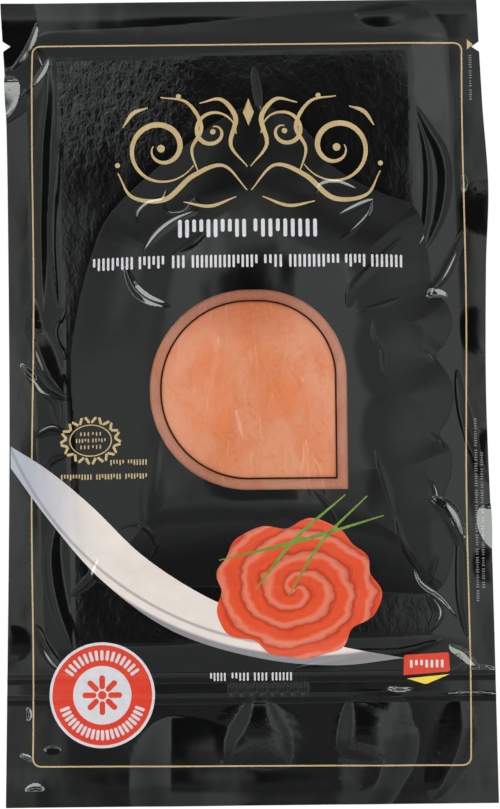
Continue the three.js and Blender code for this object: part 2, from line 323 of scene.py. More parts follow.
# The slices' outline, clockwise from the left end of the lower edge.
MOUND_OUTLINE: tuple[Point, ...] = (
    (-46.6, -55.0), (-49.6, -43.5), (-51.6, -22), (-53, -3), (-53.6, 8), (-52.4, 22), (-47.8, 42), (-42.2, 56),
    (-29.2, 69.2), (-17.4, 78.6), (-6.6, 86.4), (3.8, 90.6), (13.6, 86.8), (20.4, 80.8), (25.4, 72.8), (34.0, 66.6),
    (43.8, 62.0), (52.2, 58.4), (55.6, 45), (57.4, 33.4), (61.6, 28.4), (62.8, 22.6), (60.6, 16.4), (57.8, 13.0),
    (61.4, 7.0), (63.0, 1.2), (61.6, -5.6), (58.6, -11.4), (62.0, -16.4), (61.6, -24.4), (59.6, -30.4), (62.4, -38),
    (62.0, -48), (57.6, -58.6), (44, -59.4), (20, -57.6), (-16, -56.8),
)

FACET, ROUND, PINCH, SOFT = Flank.FACET, Flank.ROUND, Flank.PINCH, Flank.SOFT

LEFT_FOLDS: tuple[Fold, ...] = (
    # the long flutes beside the board
    Fold(
        ((-60.5, 106), (-61, 93), (-62.3, 80.7), (-63, 62), (-63.1, 43.5), (-62.6, 27)),
        0.36, 3.4, 2.2, SOFT, 0.2,
    ),
    Fold(((-57, 82), (-59.3, 62), (-59.7, 46.6), (-57.6, 28)), 0.3, 2.4, 1.6, PINCH),
    Fold(((-64.8, 110), (-61.9, 103.7), (-64.8, 96)), 0.4, 3.2, 1.6, PINCH),
    # the creases round the soft corner beside the middle of the board
    Fold(((-65.2, 32), (-66.3, 22), (-63.9, 15.8), (-60.2, 7.2), (-55.6, 1.9)), 0.6, 5.6, 2.0, SOFT),
    Fold(((-55.4, 29), (-58.9, 21.3), (-55.6, 12.6)), 0.24, 2.0, 1.3, PINCH),
    Fold(((-68.6, 11), (-64.8, 6.6), (-61.8, 2.9), (-55.2, 0.4)), 0.7, 2.2, 2.0, PINCH),
    Fold(((-63.6, 3), (-59, -0.2), (-57.6, -8)), 0.5, 2.4, 2.4, PINCH),
    Fold(((-65.4, -10.6), (-59.7, -8.1), (-54.6, -9.8)), 0.5, 1.6, 2.6, PINCH),
    Fold(((-62, -25.4), (-60.4, -19.1), (-55, -16.4)), 0.5, 2.6, 1.6, PINCH),
    # the long lens and the creases below it
    Fold(
        ((-56.4, -29), (-60.5, -43.8), (-60.8, -51.4), (-59.4, -60.5), (-57, -68.1), (-53.4, -77)),
        0.5, 4.8, 2.4, SOFT, 0.2,
    ),
    Fold(((-65.4, -68), (-62.5, -75), (-60.1, -78.7), (-56.8, -82.4)), 0.5, 3.0, 1.8, PINCH),
    # the lifted edge of the margin
    Fold(((-76, 132), (-75.6, 116), (-75.4, 103)), 0.6, 12, 3),
    Fold(((-60.6, 104.6), (-65.1, 98.4), (-69, 93.4), (-76, 86)), 0.8, 4, 9),
    Fold(((-74, -68), (-73, -73.5), (-74, -79)), 0.2, 7, 7, ROUND),
)

RIGHT_FOLDS: tuple[Fold, ...] = (
    # the long lens beside the board
    Fold(
        ((53.0, 90), (57.7, 81.6), (60.4, 76.9), (62, 69.4), (61.3, 60.8), (59.5, 54), (55.4, 45.6)),
        0.27, 2.0, 3.4, SOFT, 0.2,
    ),
    Fold(((53.2, 87), (55.8, 77), (56.5, 68.6), (56, 59.3), (54.8, 51), (52.0, 45.6)), 0.17, 1.4, 2.2, SOFT),
    Fold(((67.6, 52), (62.7, 41.6), (59.5, 36.1), (54.6, 31)), 0.6, 2.0, 2.6, PINCH),
    # the creases between the bulges of the slices
    Fold(((52.4, 15), (55.2, 13.2), (58, 9.6)), 0.08, 1.2, 1.2, PINCH),
    Fold(((53.6, -10.4), (57, -12), (60.6, -16.8)), 0.08, 1.4, 1.4, PINCH),
    Fold(((55, -24.6), (56.8, -28.2), (57.2, -32)), 0.14, 1.4, 1.4, PINCH),
    Fold(((54.8, -31), (60.5, -36), (62.9, -40.5), (65, -48)), 0.4, 1.6, 2.6, PINCH),
    Fold(((64.2, 9), (65.7, -0.8), (67.4, -8.5), (69.4, -14.7), (72.6, -24)), 0.4, 2.4, 3.2, PINCH),
    Fold(
        ((50.0, -51.6), (51.4, -55.6), (53.5, -57.8), (56.5, -59.9), (59.5, -62.7), (63, -67)),
        0.55, 1.1, 1.0, PINCH,
    ),
    Fold(((64.2, -41), (64.8, -52.7), (65, -61.8), (66, -73)), 0.4, 2.4, 3.0, PINCH),
    Fold(((54.4, -59.6), (57.7, -65.4), (55, -71.4)), 0.45, 1.6, 2.4, PINCH),
    Fold(((57.6, -47.6), (54.8, -57)), 0.14, 1.6, 2.0, PINCH),
    # the lifted edge of the margin
    Fold(((77, 67), (75.6, 59), (77, 49)), 0.3, 4, 10, SOFT, 0.3),
    Fold(((34, 119.4), (43, 119.8), (52, 121.2)), 0.25, 2.5, 5.5, SOFT, 0.2),
    Fold(((74, 28), (72, 21), (74, 13)), 0.16, 8, 8, ROUND),
    Fold(((75.6, -9), (74, -18), (75.6, -27)), 0.12, 6, 6, ROUND),
    Fold(((75.6, -46), (74.4, -51), (75.6, -57)), 0.16, 7, 7, ROUND),
)

MOUND_FOLDS: tuple[Fold, ...] = (
    Fold(((3.0, 102.5), (4, 95.4), (4.9, 88)), 0.434, 1.5, 1.5, PINCH),
    # tents at the upper left of the slices
    Fold(((-33, 53.4), (-32.4, 57.6), (-29.1, 60.3), (-25.1, 61.2), (-23.8, 65)), 0.186, 1.6, 1.0, PINCH),
    Fold(((-25.4, 61.6), (-23.6, 57.1), (-18.4, 57.3), (-15.3, 61), (-12.6, 56)), 0.155, 1.0, 1.0, PINCH),
    Fold(((-14, 57.6), (-21.5, 54.3), (-26.7, 50.3), (-31.4, 44.4)), 0.403, 2.6, 2.0, PINCH),
    Fold(((-11.6, 51.6), (-16.9, 47), (-23, 43.4)), 0.217, 1.8, 1.4, PINCH),
    Fold(((-37, 41), (-34, 34), (-30, 30.4), (-23, 28)), 1.0, 1.8, 1.6),
    # tents at their upper right
    Fold(((39.4, 61), (34.5, 58.8), (27.6, 55.3)), 0.217, 1.4, 1.2, PINCH),
    Fold(((39.2, 60.6), (37.5, 55.9), (32.6, 50.8), (28.4, 47.6)), 0.217, 1.4, 1.2, PINCH),
    Fold(((21.2, 61.6), (23, 65), (27.9, 66.2), (34, 64.4)), 0.186, 1.4, 1.0, PINCH),
    Fold(((47.8, 49.4), (40.3, 41.8), (34.8, 36.4), (31.6, 31.2), (31, 27)), 0.372, 2.8, 2.0, PINCH),
    Fold(((33.4, 26), (40.1, 27.7), (46.6, 30)), 0.186, 1.4, 1.2, PINCH),
    Fold(((39, 25), (38.5, 18.9), (40.9, 14.3), (41.4, 8.8), (43.8, 4.4)), 0.161, 1.6, 1.2, PINCH),
    # creases low on the mound
    Fold(((38.6, -15.6), (41.2, -25.3), (44.4, -37)), 0.186, 2.4, 1.4, PINCH),
    Fold(((44.4, -35), (46.9, -45), (51.6, -53.4)), 0.217, 2.0, 1.4, PINCH),
    Fold(((20, -28), (24.7, -33.6), (27.4, -39.6)), 0.248, 1.4, 1.4, PINCH),
    Fold(((-40.2, -39.8), (-35.3, -37.8), (-30.5, -39.6), (-28.1, -44.2), (-30.2, -49)), 0.186, 1.4, 1.2, PINCH),
    Fold(((-45, -47), (-47.7, -53.7), (-54, -59.4)), 0.434, 2.0, 2.0, PINCH),
    Fold(((-26.8, -12.6), (-29.1, -24.5), (-30.6, -38)), 0.0868, 2.6, 2.6, ROUND),
)

WINDOW_FOLDS: tuple[Fold, ...] = (
    Fold(((-3.4, -2.8), (-2.6, -7.6), (-0.9, -13.4)), 0.34, 0.55, 0.55),
    Fold(((16.2, 7.4), (16.9, 5), (16.6, 2.8)), 0.3, 0.5, 0.5),
    Fold(((17.5, -9.4), (18, -17.8), (18.6, -30)), 0.26, 0.45, 0.45),
    Fold(((18.6, -17.2), (21.8, -21.6), (23, -30)), 0.24, 0.4, 0.4),
    Fold(((-8.2, 21.4), (-8.4, 17.6), (-7.4, 13.8)), 0.2, 0.4, 0.4),
)

SKIRT_FOLDS: tuple[Fold, ...] = (
    # the film that hangs from the board's lower edge
    Fold(((13, -82), (24, -80.2), (33, -78.2), (45.6, -77.7), (59, -73.6)), 0.4, 2.2, 2.4, PINCH),
    # the loose skirt
    Fold(((1.6, -90.5), (-0.2, -98), (-3.6, -104), (-6.4, -110.5)), 0.5, 20, 5.0, SOFT, 0.3),
    Fold(((4.4, -90.5), (5.4, -97), (8.6, -103), (10.4, -112)), 0.42, 4.6, 20, SOFT, 0.3),
    Fold(((31.4, -90.5), (31, -102), (28.6, -109)), 0.5, 14, 5.0, SOFT, 0.3),
    Fold(((45.2, -90), (41.6, -98), (41.2, -105), (38.5, -114), (32, -130)), 0.8, 10, 18, SOFT, 0.3),
    Fold(((63.6, -91), (64.4, -100.5), (61.5, -110), (55, -122)), 0.4, 5.0, 9, SOFT, 0.3),
    Fold(((-23.4, -96), (-23.4, -114), (-24.4, -140)), 0.75, 28, 14, SOFT, 0.2),
)

# Small steep puckers, which sit on the other folds.
PUCKERS: tuple[Fold, ...] = (
    # along the left margin
    Fold(((-63.6, 117.4), (-65.5, 111.9), (-68.2, 107.0), (-71.8, 102.4)), 1.1, 1.8, 0.6),
    Fold(((-60.2, 105.6), (-62.4, 101.8), (-65.8, 97)), 0.9, 1.5, 0.6),
    Fold(((-79, 100.2), (-78.4, 96.6), (-79, 85.6)), 5.8, 9.6, 3),
    Fold(((-69.4, 11.8), (-66.6, 8.8), (-64.6, 6.6)), 0.8, 1.2, 1.2),
    Fold(((-67.8, -92.8), (-67, -95), (-67.6, -97.2)), 0.6, 1.0, 0.9),
    Fold(((-70.2, -107.2), (-67.8, -108), (-65.6, -109.2)), 0.6, 1.0, 0.9),
    Fold(((-68.6, -118), (-65.4, -117), (-62.6, -117.8)), 0.8, 1.4, 1.2),
    Fold(((-62.8, -105.6), (-60, -105.2), (-57.4, -105.8)), 0.7, 0.6, 2.2),
    # along the right margin
    Fold(((66.8, 68.8), (67.2, 66.4), (67, 63)), 0.9, 1.3, 0.7),
    Fold(((55.2, 30.9), (57.4, 31.2), (61.8, 31.0)), 1.2, 2.4, 0.5),
    Fold(((56, -30.2), (60.6, -32), (63.8, -35.4), (66.2, -43)), 2.1, 0.8, 3.0),
    Fold(((79, -32.4), (78.4, -36.8), (79, -48)), 5.2, 3, 9),
    # at the right end of the seal, and along it
    Fold(((60.4, -75.4), (65, -77.4), (69.6, -82.6)), 1.5, 0.9, 2.4),
    Fold(((66, -82.6), (71, -82.2), (77, -83.2)), 0.5, 0.7, 0.7),
    Fold(((41.4, -88.2), (45, -88.8), (49.6, -88.4)), 0.6, 0.9, 0.9),
    Fold(((58, -90.4), (67, -90), (77, -90.6)), 0.3, 0.5, 0.5),
)

RIPPLES: tuple[Ripple, ...] = (Ripple((14, 18), 0.05, 3), Ripple((5, 8), 0.012, 5))


@dataclass(frozen=True)
class FilmShape:
    """Where the front web lies, worked out from the pack's driving sizes."""

    # the pouch: its edges are (y, x) places, and sheet is the thickness of its two webs
    half_length: float = 123.2
    left_edge: tuple[Point, ...] = ((-123.2, -74.3), (-20, -72.8), (40, -72.8), (92, -73.4), (123.2, -74.95))
    right_edge: tuple[Point, ...] = (
        (-123.2, 74.95), (-45, 74.1), (0, 73.1), (40, 73.7), (65, 74.8), (90, 73.4), (123.2, 72.0),
    )
    sheet: float = 0.6
    # the carrier board, and the two widths, left and right, that the film bridges from its edge down
    board_width: float = 110
    board_length: float = 181.4
    board_rise: float = 0.8
    board_at: Point = (-1.3, 16.8)
    board_turn: float = 1.6
    bridges: Point = (8.4, 11.6)
    bridge_bend: float = 0.03
    # the mound over the slices: a rounded edge, a crown, and a step where the upper slices end
    mound_edge: float = 3.1
    mound_edge_width: float = 27
    mound_crown: float = 4.9
    mound_middle: Point = (1.5, 16)
    mound_half: Point = (61, 86)
    slice_step_y: float = 66
    slice_step_drop: float = 0.5
    slice_step_width: float = 9
    # the vacuum seal across the lower part, its raised lips and its few ribs
    seal_top: float = -84.5
    seal_bottom: float = -90.8
    seal_lip: float = 0.35
    seal_lip_width: float = 1.6
    rib_from: float = -7
    rib_to: float = 18
    rib_pitch: float = 3.1
    rib_height: float = 0.25
    # where the two webs lie on each other
    frame_half_width: float = 65.5
    top_seal: float = 117.5
    seal_fade: float = 4
    # how the pack's ends curl up, in a wave across, and droop again at the very edge
    curl_top: float = 0.36
    curl_bottom: float = 0.18
    curl_reach: float = 12
    curl_haste: float = 1.5
    curl_wave: float = 88
    curl_sway: float = 0.25
    curl_phase_top: float = 3.4
    curl_phase_bottom: float = 2.6
    curl_droop: float = 0.4
    curl_droop_haste: float = 1.4
    least_lift: float = 0.2
    # how much more the film ripples over the slices, and where it crinkles on the bare board
    slack: float = 1.6
    slack_fade: float = 8
    crinkle_least: float = 0.015
    crinkle_most: float = 0.1
    crinkle_right: float = -8
    crinkle_fade_x: float = 26
    crinkle_bottom: float = 66
    crinkle_fade_y: float = 30
    crinkle_off_edge: float = 1.5
    crinkle_off_mound: float = 2.5

    def edges(self, y: Array) -> tuple[Array, Array]:
        """The places of the two long edges at each y."""
        return through(self.left_edge, y), through(self.right_edge, y)

    def inside_mound(self, x: Array, y: Array) -> Array:
        """How far inside the slices' outline each place is, below zero outside."""
        distance, side, _ = nearest(curve(MOUND_OUTLINE, MOUND_STEPS, closed=True), x, y)
        return -distance * side

    def off_board(self, x: Array, y: Array) -> Array:
        """Measures how far outside the carrier board each place is.

        Args:
            x: places across.
            y: places along.

        Returns:
            The distance, below zero on the board.
        """
        turn = math.radians(self.board_turn)
        dx, dy = x - self.board_at[0], y - self.board_at[1]
        across = np.abs(dx * math.cos(turn) + dy * math.sin(turn)) - self.board_width / 2
        along = np.abs(dy * math.cos(turn) - dx * math.sin(turn)) - self.board_length / 2
        outside = np.hypot(np.maximum(across, 0), np.maximum(along, 0))
        return np.where(outside > 0, outside, np.maximum(across, along))

    def board(self, x: Array, y: Array) -> Array:
        """Works out the film's height over the carrier board and on the slope from its edge down to the seals.

        Args:
            x: places across.
            y: places along.

        Returns:
            The height at each place, 0 beyond the slope.
        """
        rightward = smooth((x - self.board_at[0]) / self.board_width + 0.5)
        out = self.off_board(x, y) / (self.bridges[0] + (self.bridges[1] - self.bridges[0]) * rightward)
        bend = self.bridge_bend
        start, end = soft_ramp(-3 * bend, bend), soft_ramp(1 + 3 * bend, bend)
        return self.board_rise * np.clip(1 - (soft_ramp(out, bend) - start) / (end - start), 0, 1)

    def mound(self, x: Array, y: Array) -> Array:
        """Works out the height of the mound over the slices, above the board.

        Args:
            x: places across.
            y: places along.

        Returns:
            The height at each place, 0 beside the slices.
        """
        edge = np.clip(self.inside_mound(x, y) / self.mound_edge_width, 0, 1)
        edge = edge * (2 - edge)
        across = (x - self.mound_middle[0]) / self.mound_half[0]
        along = (y - self.mound_middle[1]) / self.mound_half[1]
        crown = self.mound_crown * np.clip(1 - across**2, 0, 1) * np.clip(1 - along**2, 0, 1)
        step = self.slice_step_drop * smooth((y - self.slice_step_y) / self.slice_step_width + 0.5)
        return edge * (self.mound_edge + crown - step)

    def curl(self, x: Array, y: Array) -> Array:
        """Works out how far the pack's two ends curl up off the table.

        Args:
            x: places across.
            y: places along.

        Returns:
            The height at each place, 0 away from the ends.
        """
        inward = (self.half_length - np.abs(y)) / self.curl_reach
        rise = smooth((1 - inward) * self.curl_haste)
        phase = np.where(y > 0, self.curl_phase_top, self.curl_phase_bottom)
        wave = 1 - self.curl_sway + self.curl_sway * np.sin(2 * math.pi * x / self.curl_wave + phase)
        droop = 1 - self.curl_droop * np.clip(1 - inward * self.curl_droop_haste, 0, 1) ** 2
        return np.where(y > 0, self.curl_top, self.curl_bottom) * rise * wave * droop

    def seal(self, x: Array, y: Array) -> Array:
        """Works out the raised lips of the vacuum seal and the ribs across it.

        Args:
            x: places across.
            y: places along.

        Returns:
            The height at each place, 0 away from the seal.
        """
        middle, half = (self.seal_top + self.seal_bottom) / 2, (self.seal_top - self.seal_bottom) / 2
        lip = self.seal_lip * np.clip(1 - np.abs(np.abs(y - middle) - half) / self.seal_lip_width, 0, 1)
        across = np.clip(1 - np.abs(y - middle) / half, 0, 1)
        wave = 0.5 - 0.5 * np.cos(2 * math.pi * (x - self.rib_from) / self.rib_pitch)
        ribbed = (x > self.rib_from) & (x < self.rib_to)
        return lip + self.rib_height * across * np.where(ribbed, wave, 0)

    def crinkle(self, x: Array, y: Array) -> Array:
        """Works out how strongly the film crinkles on the bare board, which is most at its upper left.

        Args:
            x: places across.
            y: places along.

        Returns:
            The strength at each place, 0 off the bare board.
        """
        bare = smooth(-self.off_board(x, y) / self.crinkle_off_edge)
        bare = bare * smooth(-self.inside_mound(x, y) / self.crinkle_off_mound)
        left = smooth((self.crinkle_right - x) / self.crinkle_fade_x)
        upper_left = left * smooth((y - self.crinkle_bottom) / self.crinkle_fade_y)
        return bare * (self.crinkle_least + (self.crinkle_most - self.crinkle_least) * upper_left)

    def sheet_share(self, x: Array, y: Array) -> Array:
        """Works out where the two webs lie on each other.

        Args:
            x: places across.
            y: places along.

        Returns:
            1 on the sealed margins and the skirt, 0 over the contents.
        """
        past = (np.abs(x) - self.frame_half_width, self.seal_top - y, y - self.top_seal)
        return np.maximum.reduce([smooth(distance / self.seal_fade + 0.5) for distance in past])

    def folds(self, x: Array, y: Array) -> Array:
        """Works out the film's folds: the highest at each place, and the skirt's folds and the puckers added up.

        Args:
            x: places across.
            y: places along.

        Returns:
            The height at each place.
        """
        rise = np.zeros(x.shape)
        for fold in (*LEFT_FOLDS, *RIGHT_FOLDS, *MOUND_FOLDS, *WINDOW_FOLDS):
            rise = np.maximum(rise, fold.rise(x, y))
        return rise + sum(fold.rise(x, y) for fold in (*SKIRT_FOLDS, *PUCKERS))

    def ripples(self, x: Array, y: Array) -> Array:
        """The film's gentle unevenness, most over the slices."""
        over = 1 + self.slack * smooth(self.inside_mound(x, y) / self.slack_fade)
        return over * sum(ripple.rise(x, y) for ripple in RIPPLES)

    def contents(self, x: Array, y: Array) -> Array:
        """The film's height without its folds and ripples: that of the board and the slices, and of the curl."""
        return self.sheet + self.curl(x, y) + self.board(x, y) + self.mound(x, y)

    def front(self, x: Array, y: Array) -> Array:
        """Height of the front web's outer face."""
        return self.contents(x, y) + self.folds(x, y) + self.seal(x, y) + self.ripples(x, y)

    def back(self, x: Array, y: Array) -> Array:
        """Height of the back web, which curls with the seals and lies flat elsewhere."""
        lift = self.curl(x, y) + self.folds(x, y) * self.sheet_share(x, y)
        return np.where(lift < self.least_lift, 0.0, lift - self.least_lift)


# ---------------------------------------------------------------- light
@dataclass(frozen=True)
class Glow:
    """A soft-edged rectangle of light in the studio, placed by the slope of the way to it: x and y over height."""

    x: float
    y: float
    half_x: float
    half_y: float
    soft: float
    strength: float


# A bright tent above the horizon: it dims by RIM's strength below the rim, and by the dome's above the pack.
TENT = 5.75
RIM = Glow(0.0, 0.0, 2.4, 2.4, 0.5, 0.94)
DOME = Glow(0.0, 0.0, 1.32, 1.32, 0.25, 0.986)
GLOWS: tuple[Glow, ...] = (
    # the broad light overhead and its brighter middle
    Glow(0.0, 0.05, 1.15, 0.5, 0.45, 0.29),
    Glow(0.05, 0.03, 0.23, 0.22, 0.12, 0.36),
    # faint lights that the slopes of the mound mirror
    Glow(-0.62, -0.02, 0.3, 0.2, 0.25, 0.14),
    Glow(-0.7, 0.37, 0.1, 0.12, 0.14, 0.24),
    Glow(0.85, -0.05, 0.2, 0.3, 0.3, 0.2),
    Glow(0.5, 0.92, 0.25, 0.2, 0.3, 0.2),
    Glow(-0.65, 0.86, 0.25, 0.2, 0.3, 0.26),
    # small lights that the margins and the slopes off the board mirror
    Glow(-0.13, 0.26, 0.05, 0.06, 0.05, 0.6),
    Glow(0.21, 0.195, 0.02, 0.03, 0.025, 0.4),
    Glow(0.087, 0.037, 0.012, 0.028, 0.02, 0.4),
    Glow(-0.09, 0.055, 0.012, 0.045, 0.02, 0.24),
    Glow(0.085, -0.1, 0.03, 0.045, 0.03, 0.4),
    # bright panels in the four corners, which the creases catch
    Glow(-1.2, 1.15, 0.25, 0.25, 0.2, 3.0),
    Glow(1.2, 0.95, 0.3, 0.3, 0.2, 2.4),
    Glow(-1.0, -0.9, 0.25, 0.3, 0.2, 3.0),
    Glow(1.0, -0.95, 0.25, 0.3, 0.2, 2.4),
)
# Dark cards that the flat middle and the skirt mirror.
CARDS: tuple[Glow, ...] = (
    Glow(0.013, 0.11, 0.063, 0.1, 0.045, 0.965),
    Glow(-0.014, 0.067, 0.059, 0.101, 0.035, 0.94),
    Glow(0.0, -0.055, 0.075, 0.05, 0.03, 0.72),
    Glow(0.0, -0.2, 0.45, 0.15, 0.06, 0.4),
)


# ---------------------------------------------------------------- meshes
# How near two places are taken as one, how far a grid stays off its edge in steps, and how far to each side of a
# place a surface's slope is taken.
SAME_PLACE = 1e-5
GRID_CLEARANCE = 0.35
SLOPE_REACH = 0.08
SHARP_ANGLE = 50


class Ink(Enum):
    """What covers a face of the pouch, in the order of its materials. A face with no print is plain."""

    PLAIN = 0
    BLACK = 1
    GOLD = 2
    WHITE = 3
    RED = 4
    YELLOW = 5
    PLATE = 6
    FISH = 7
    GREEN = 8
    GREY = 9


@dataclass(frozen=True)
class Patch:
    """A field of one ink. A place is in it where an odd number of its loops go round the place."""

    ink: Ink
    loops: tuple[Array, ...]


def crosses(loop: Array, x: Array, y: Array) -> Array:
    """Finds the places inside a closed loop.

    Args:
        loop: the loop's points in order.
        x: places across.
        y: places along.

    Returns:
        Whether each place is inside.
    """
    inside = np.zeros(x.shape, bool)
    low, high = loop.min(0), loop.max(0)
    near = (x >= low[0]) & (x <= high[0]) & (y >= low[1]) & (y <= high[1])
    if not near.any():
        return inside
    px, py = x[near], y[near]
    odd = np.zeros(px.shape, bool)
    for (ax, ay), (bx, by) in zip(loop, np.roll(loop, -1, 0)):
        if ay != by:
            odd ^= ((ay > py) != (by > py)) & (px < ax + (bx - ax) * (py - ay) / (by - ay))
    inside[near] = odd
    return inside


@dataclass
class Plan:
    """A flat net of triangles: its places, its triangles, and where each loop's points are among the places."""

    places: Array
    triangles: Array
    loops: list[Array]

    @classmethod
    def fill(cls, loops: Sequence[Array], inner: Array) -> "Plan":
        """Fills the area inside the first loop, with an edge along every loop and a corner at every inner place.

        Args:
            loops: closed outlines without the first point repeated.
            inner: further places that become corners.

        Returns:
            The net.
        """
        given = np.vstack([*loops, inner])
        edges = []
        spans = []
        start = 0
        for loop in loops:
            count = len(loop)
            edges += [(start + i, start + (i + 1) % count) for i in range(count)]
            spans.append((start, start + count))
            start += count
        corners = [Vector(place) for place in given.tolist()]
        made, _, faces, origins, _, _ = delaunay_2d_cdt(corners, edges, [], 1, SAME_PLACE, True)
        found = np.full(len(given), -1)
        for number, sources in enumerate(origins):
            found[list(sources)] = number
        plan = cls(np.array(made), np.array(faces), [found[a:b] for a, b in spans])
        plan.triangles = plan.triangles[crosses(loops[0], *plan.middles())]
        return plan

    def middles(self) -> tuple[Array, Array]:
        """The x and the y of each triangle's middle."""
        middle = self.places[self.triangles].mean(1)
        return middle[:, 0], middle[:, 1]

    def without(self, hole: Array) -> "Plan":
        """The same net without the triangles inside a loop."""
        return Plan(self.places, self.triangles[~crosses(hole, *self.middles())], self.loops)


def spread(loop: Array, box: tuple[Point, Point], gap: float) -> Array:
    """Spreads the crossings of a square grid over the inside of a loop, a little off its edge.

    Args:
        loop: the loop's points in order.
        box: the grid's lowest and highest x, and its lowest and highest y.
        gap: the grid's spacing.

    Returns:
        The places, one a row.
    """
    across, along = np.meshgrid(np.arange(*box[0], gap), np.arange(*box[1], gap))
    places = np.stack([across.ravel(), along.ravel()], 1)
    distance, _, _ = nearest(np.vstack([loop, loop[:1]]), *places.T)
    return places[crosses(loop, *places.T) & (distance > gap * GRID_CLEARANCE)]


def facing(height: Height, places: Array) -> Array:
    """Works out the directions that a surface faces.

    Args:
        height: the surface's z from x and y.
        places: where.

    Returns:
        A unit vector for each place.
    """
    x, y = places.T
    reach = SLOPE_REACH
    across = (height(x + reach, y) - height(x - reach, y)) / (2 * reach)
    along = (height(x, y + reach) - height(x, y - reach)) / (2 * reach)
    normals = np.stack([-across, -along, np.ones_like(x)], 1)
    return normals / np.linalg.norm(normals, axis=1, keepdims=True)


@dataclass
class Skin:
    """Corners and faces gathered for one closed mesh."""

    corners: list[Array] = field(default_factory=list)
    normals: list[Array] = field(default_factory=list)
    faces: list[Array] = field(default_factory=list)
    inks: list[Array] = field(default_factory=list)
    eased: list[Array] = field(default_factory=list)
    count: int = 0

    def corners_at(self, places: Array, heights: Array, normals: Array | None = None) -> int:
        """Adds corners.

        Args:
            places: their x and y.
            heights: their z.
            normals: the directions that they face, where these are known better than from the faces.

        Returns:
            The number of the first one.
        """
        first = self.count
        self.corners.append(np.column_stack([places, heights]))
        self.normals.append(np.zeros((len(places), 3)) if normals is None else normals)
        self.count += len(places)
        return first

    def add(self, faces: Array, ink: Ink | Array = Ink.PLAIN, flip: bool = False, eased: bool = False) -> None:
        """Adds faces.

        Args:
            faces: the numbers of their corners, a row each.
            ink: what covers them, or a number for each.
            flip: whether they face the other way.
            eased: whether they take the normals that their corners were given.
        """
        self.faces.append(faces[:, ::-1] if flip else faces)
        self.inks.append(np.full(len(faces), ink.value) if isinstance(ink, Ink) else ink)
        self.eased.append(np.full(len(faces), eased))

    def wall(self, lower: Array, upper: Array, flip: bool = False) -> None:
        """Joins two loops of corners, an anticlockwise pair of them into a wall that faces outward."""
        self.add(np.stack([lower, np.roll(lower, -1), np.roll(upper, -1), upper], 1), flip=flip)

    def slab(self, upper: Plan, top: Height, lower: Plan, bottom: Height) -> None:
        """Adds a closed slab between two surfaces over one outline.

        Args:
            upper: the net of its top.
            top: the top's height.
            lower: the net of its underside, with the same outline.
            bottom: the underside's height.
        """
        above = self.corners_at(upper.places, top(*upper.places.T), facing(top, upper.places))
        self.add(upper.triangles + above, eased=True)
        below = self.corners_at(lower.places, bottom(*lower.places.T))
        self.add(lower.triangles + below, flip=True)
        self.wall(lower.loops[0] + below, upper.loops[0] + above)

    def piece(self, name: str, layers: dict[str, Height] | None = None) -> bpy.types.Object:
        """Makes the mesh.

        Args:
            name: the piece's name.
            layers: values that the finishes read at each corner, by name, each from x and y.

        Returns:
            The new object.
        """
        data = bpy.data.meshes.new(name)
        corners = np.vstack(self.corners)
        rows = [row for part in self.faces for row in part.tolist()]
        data.from_pydata((corners * MM).tolist(), [], rows)
        data.polygons.foreach_set("material_index", np.concatenate(self.inks).astype(np.int32))
        data.shade_smooth()
        data.set_sharp_from_angle(angle=math.radians(SHARP_ANGLE))
        sizes = np.concatenate([np.full(len(part), part.shape[1]) for part in self.faces])
        eased = np.repeat(np.concatenate(self.eased), sizes)
        if eased.any():
            at = np.concatenate([part.ravel() for part in self.faces])
            data.normals_split_custom_set((np.vstack(self.normals)[at] * eased[:, None]).tolist())
        for layer, value in (layers or {}).items():
            data.attributes.new(layer, "FLOAT", "POINT").data.foreach_set("value", value(*corners[:, :2].T))
        data.update()
        piece = bpy.data.objects.new(name, data)
        bpy.context.scene.collection.objects.link(piece)
        return piece


# ---------------------------------------------------------------- print
# How much of a bar's width its corners lose, and the power that shapes a brush stroke's swell.
BAR_CUT = 0.3
BRUSH_SWELL = 1.3


def ring(x: float, y: float, radius: float, flat: float = 1.0, step: float = 0.5) -> Array:
    """Draws a circle or an ellipse.

    Args:
        x: its centre across.
        y: its centre along.
        radius: half its width.
        flat: its height over its width.
        step: about how far apart its points are.

    Returns:
        Its points.
    """
    count = max(int(2 * math.pi * radius / step), 10)
    turn = np.linspace(0, 2 * math.pi, count, endpoint=False)
    return np.stack([x + radius * np.cos(turn), y + radius * flat * np.sin(turn)], 1)


def bar(x: float, y: float, width: float, height: float, turn: float = 0.0) -> Array:
    """Draws a small bar with cut corners.

    Args:
        x: its middle across.
        y: its middle along.
        width: its width before it is turned.
        height: its height before it is turned.
        turn: the angle that it is turned by, in degrees.

    Returns:
        Its eight corners.
    """
    cut = BAR_CUT * min(width, height)
    a, b = width / 2, height / 2
    corners = [(-a, -b + cut), (-a + cut, -b), (a - cut, -b), (a, -b + cut)]
    corners += [(a, b - cut), (a - cut, b), (-a + cut, b), (-a, b - cut)]
    c, s = math.cos(math.radians(turn)), math.sin(math.radians(turn))
    return np.array([(x + u * c - v * s, y + u * s + v * c) for u, v in corners])


def around(x: float, y: float, radius: float, angles: Sequence[float], width: float, height: float) -> list[Array]:
    """Sets bars round a centre, each turned with its angle.

    Args:
        x: the centre across.
        y: the centre along.
        radius: how far from it the bars' middles are.
        angles: where they are, in degrees.
        width: a bar's length outward.
        height: its breadth.

    Returns:
        The bars' outlines.
    """
    bars = []
    for angle in angles:
        turn = math.radians(angle)
        bars.append(bar(x + radius * math.cos(turn), y + radius * math.sin(turn), width, height, angle))
    return bars


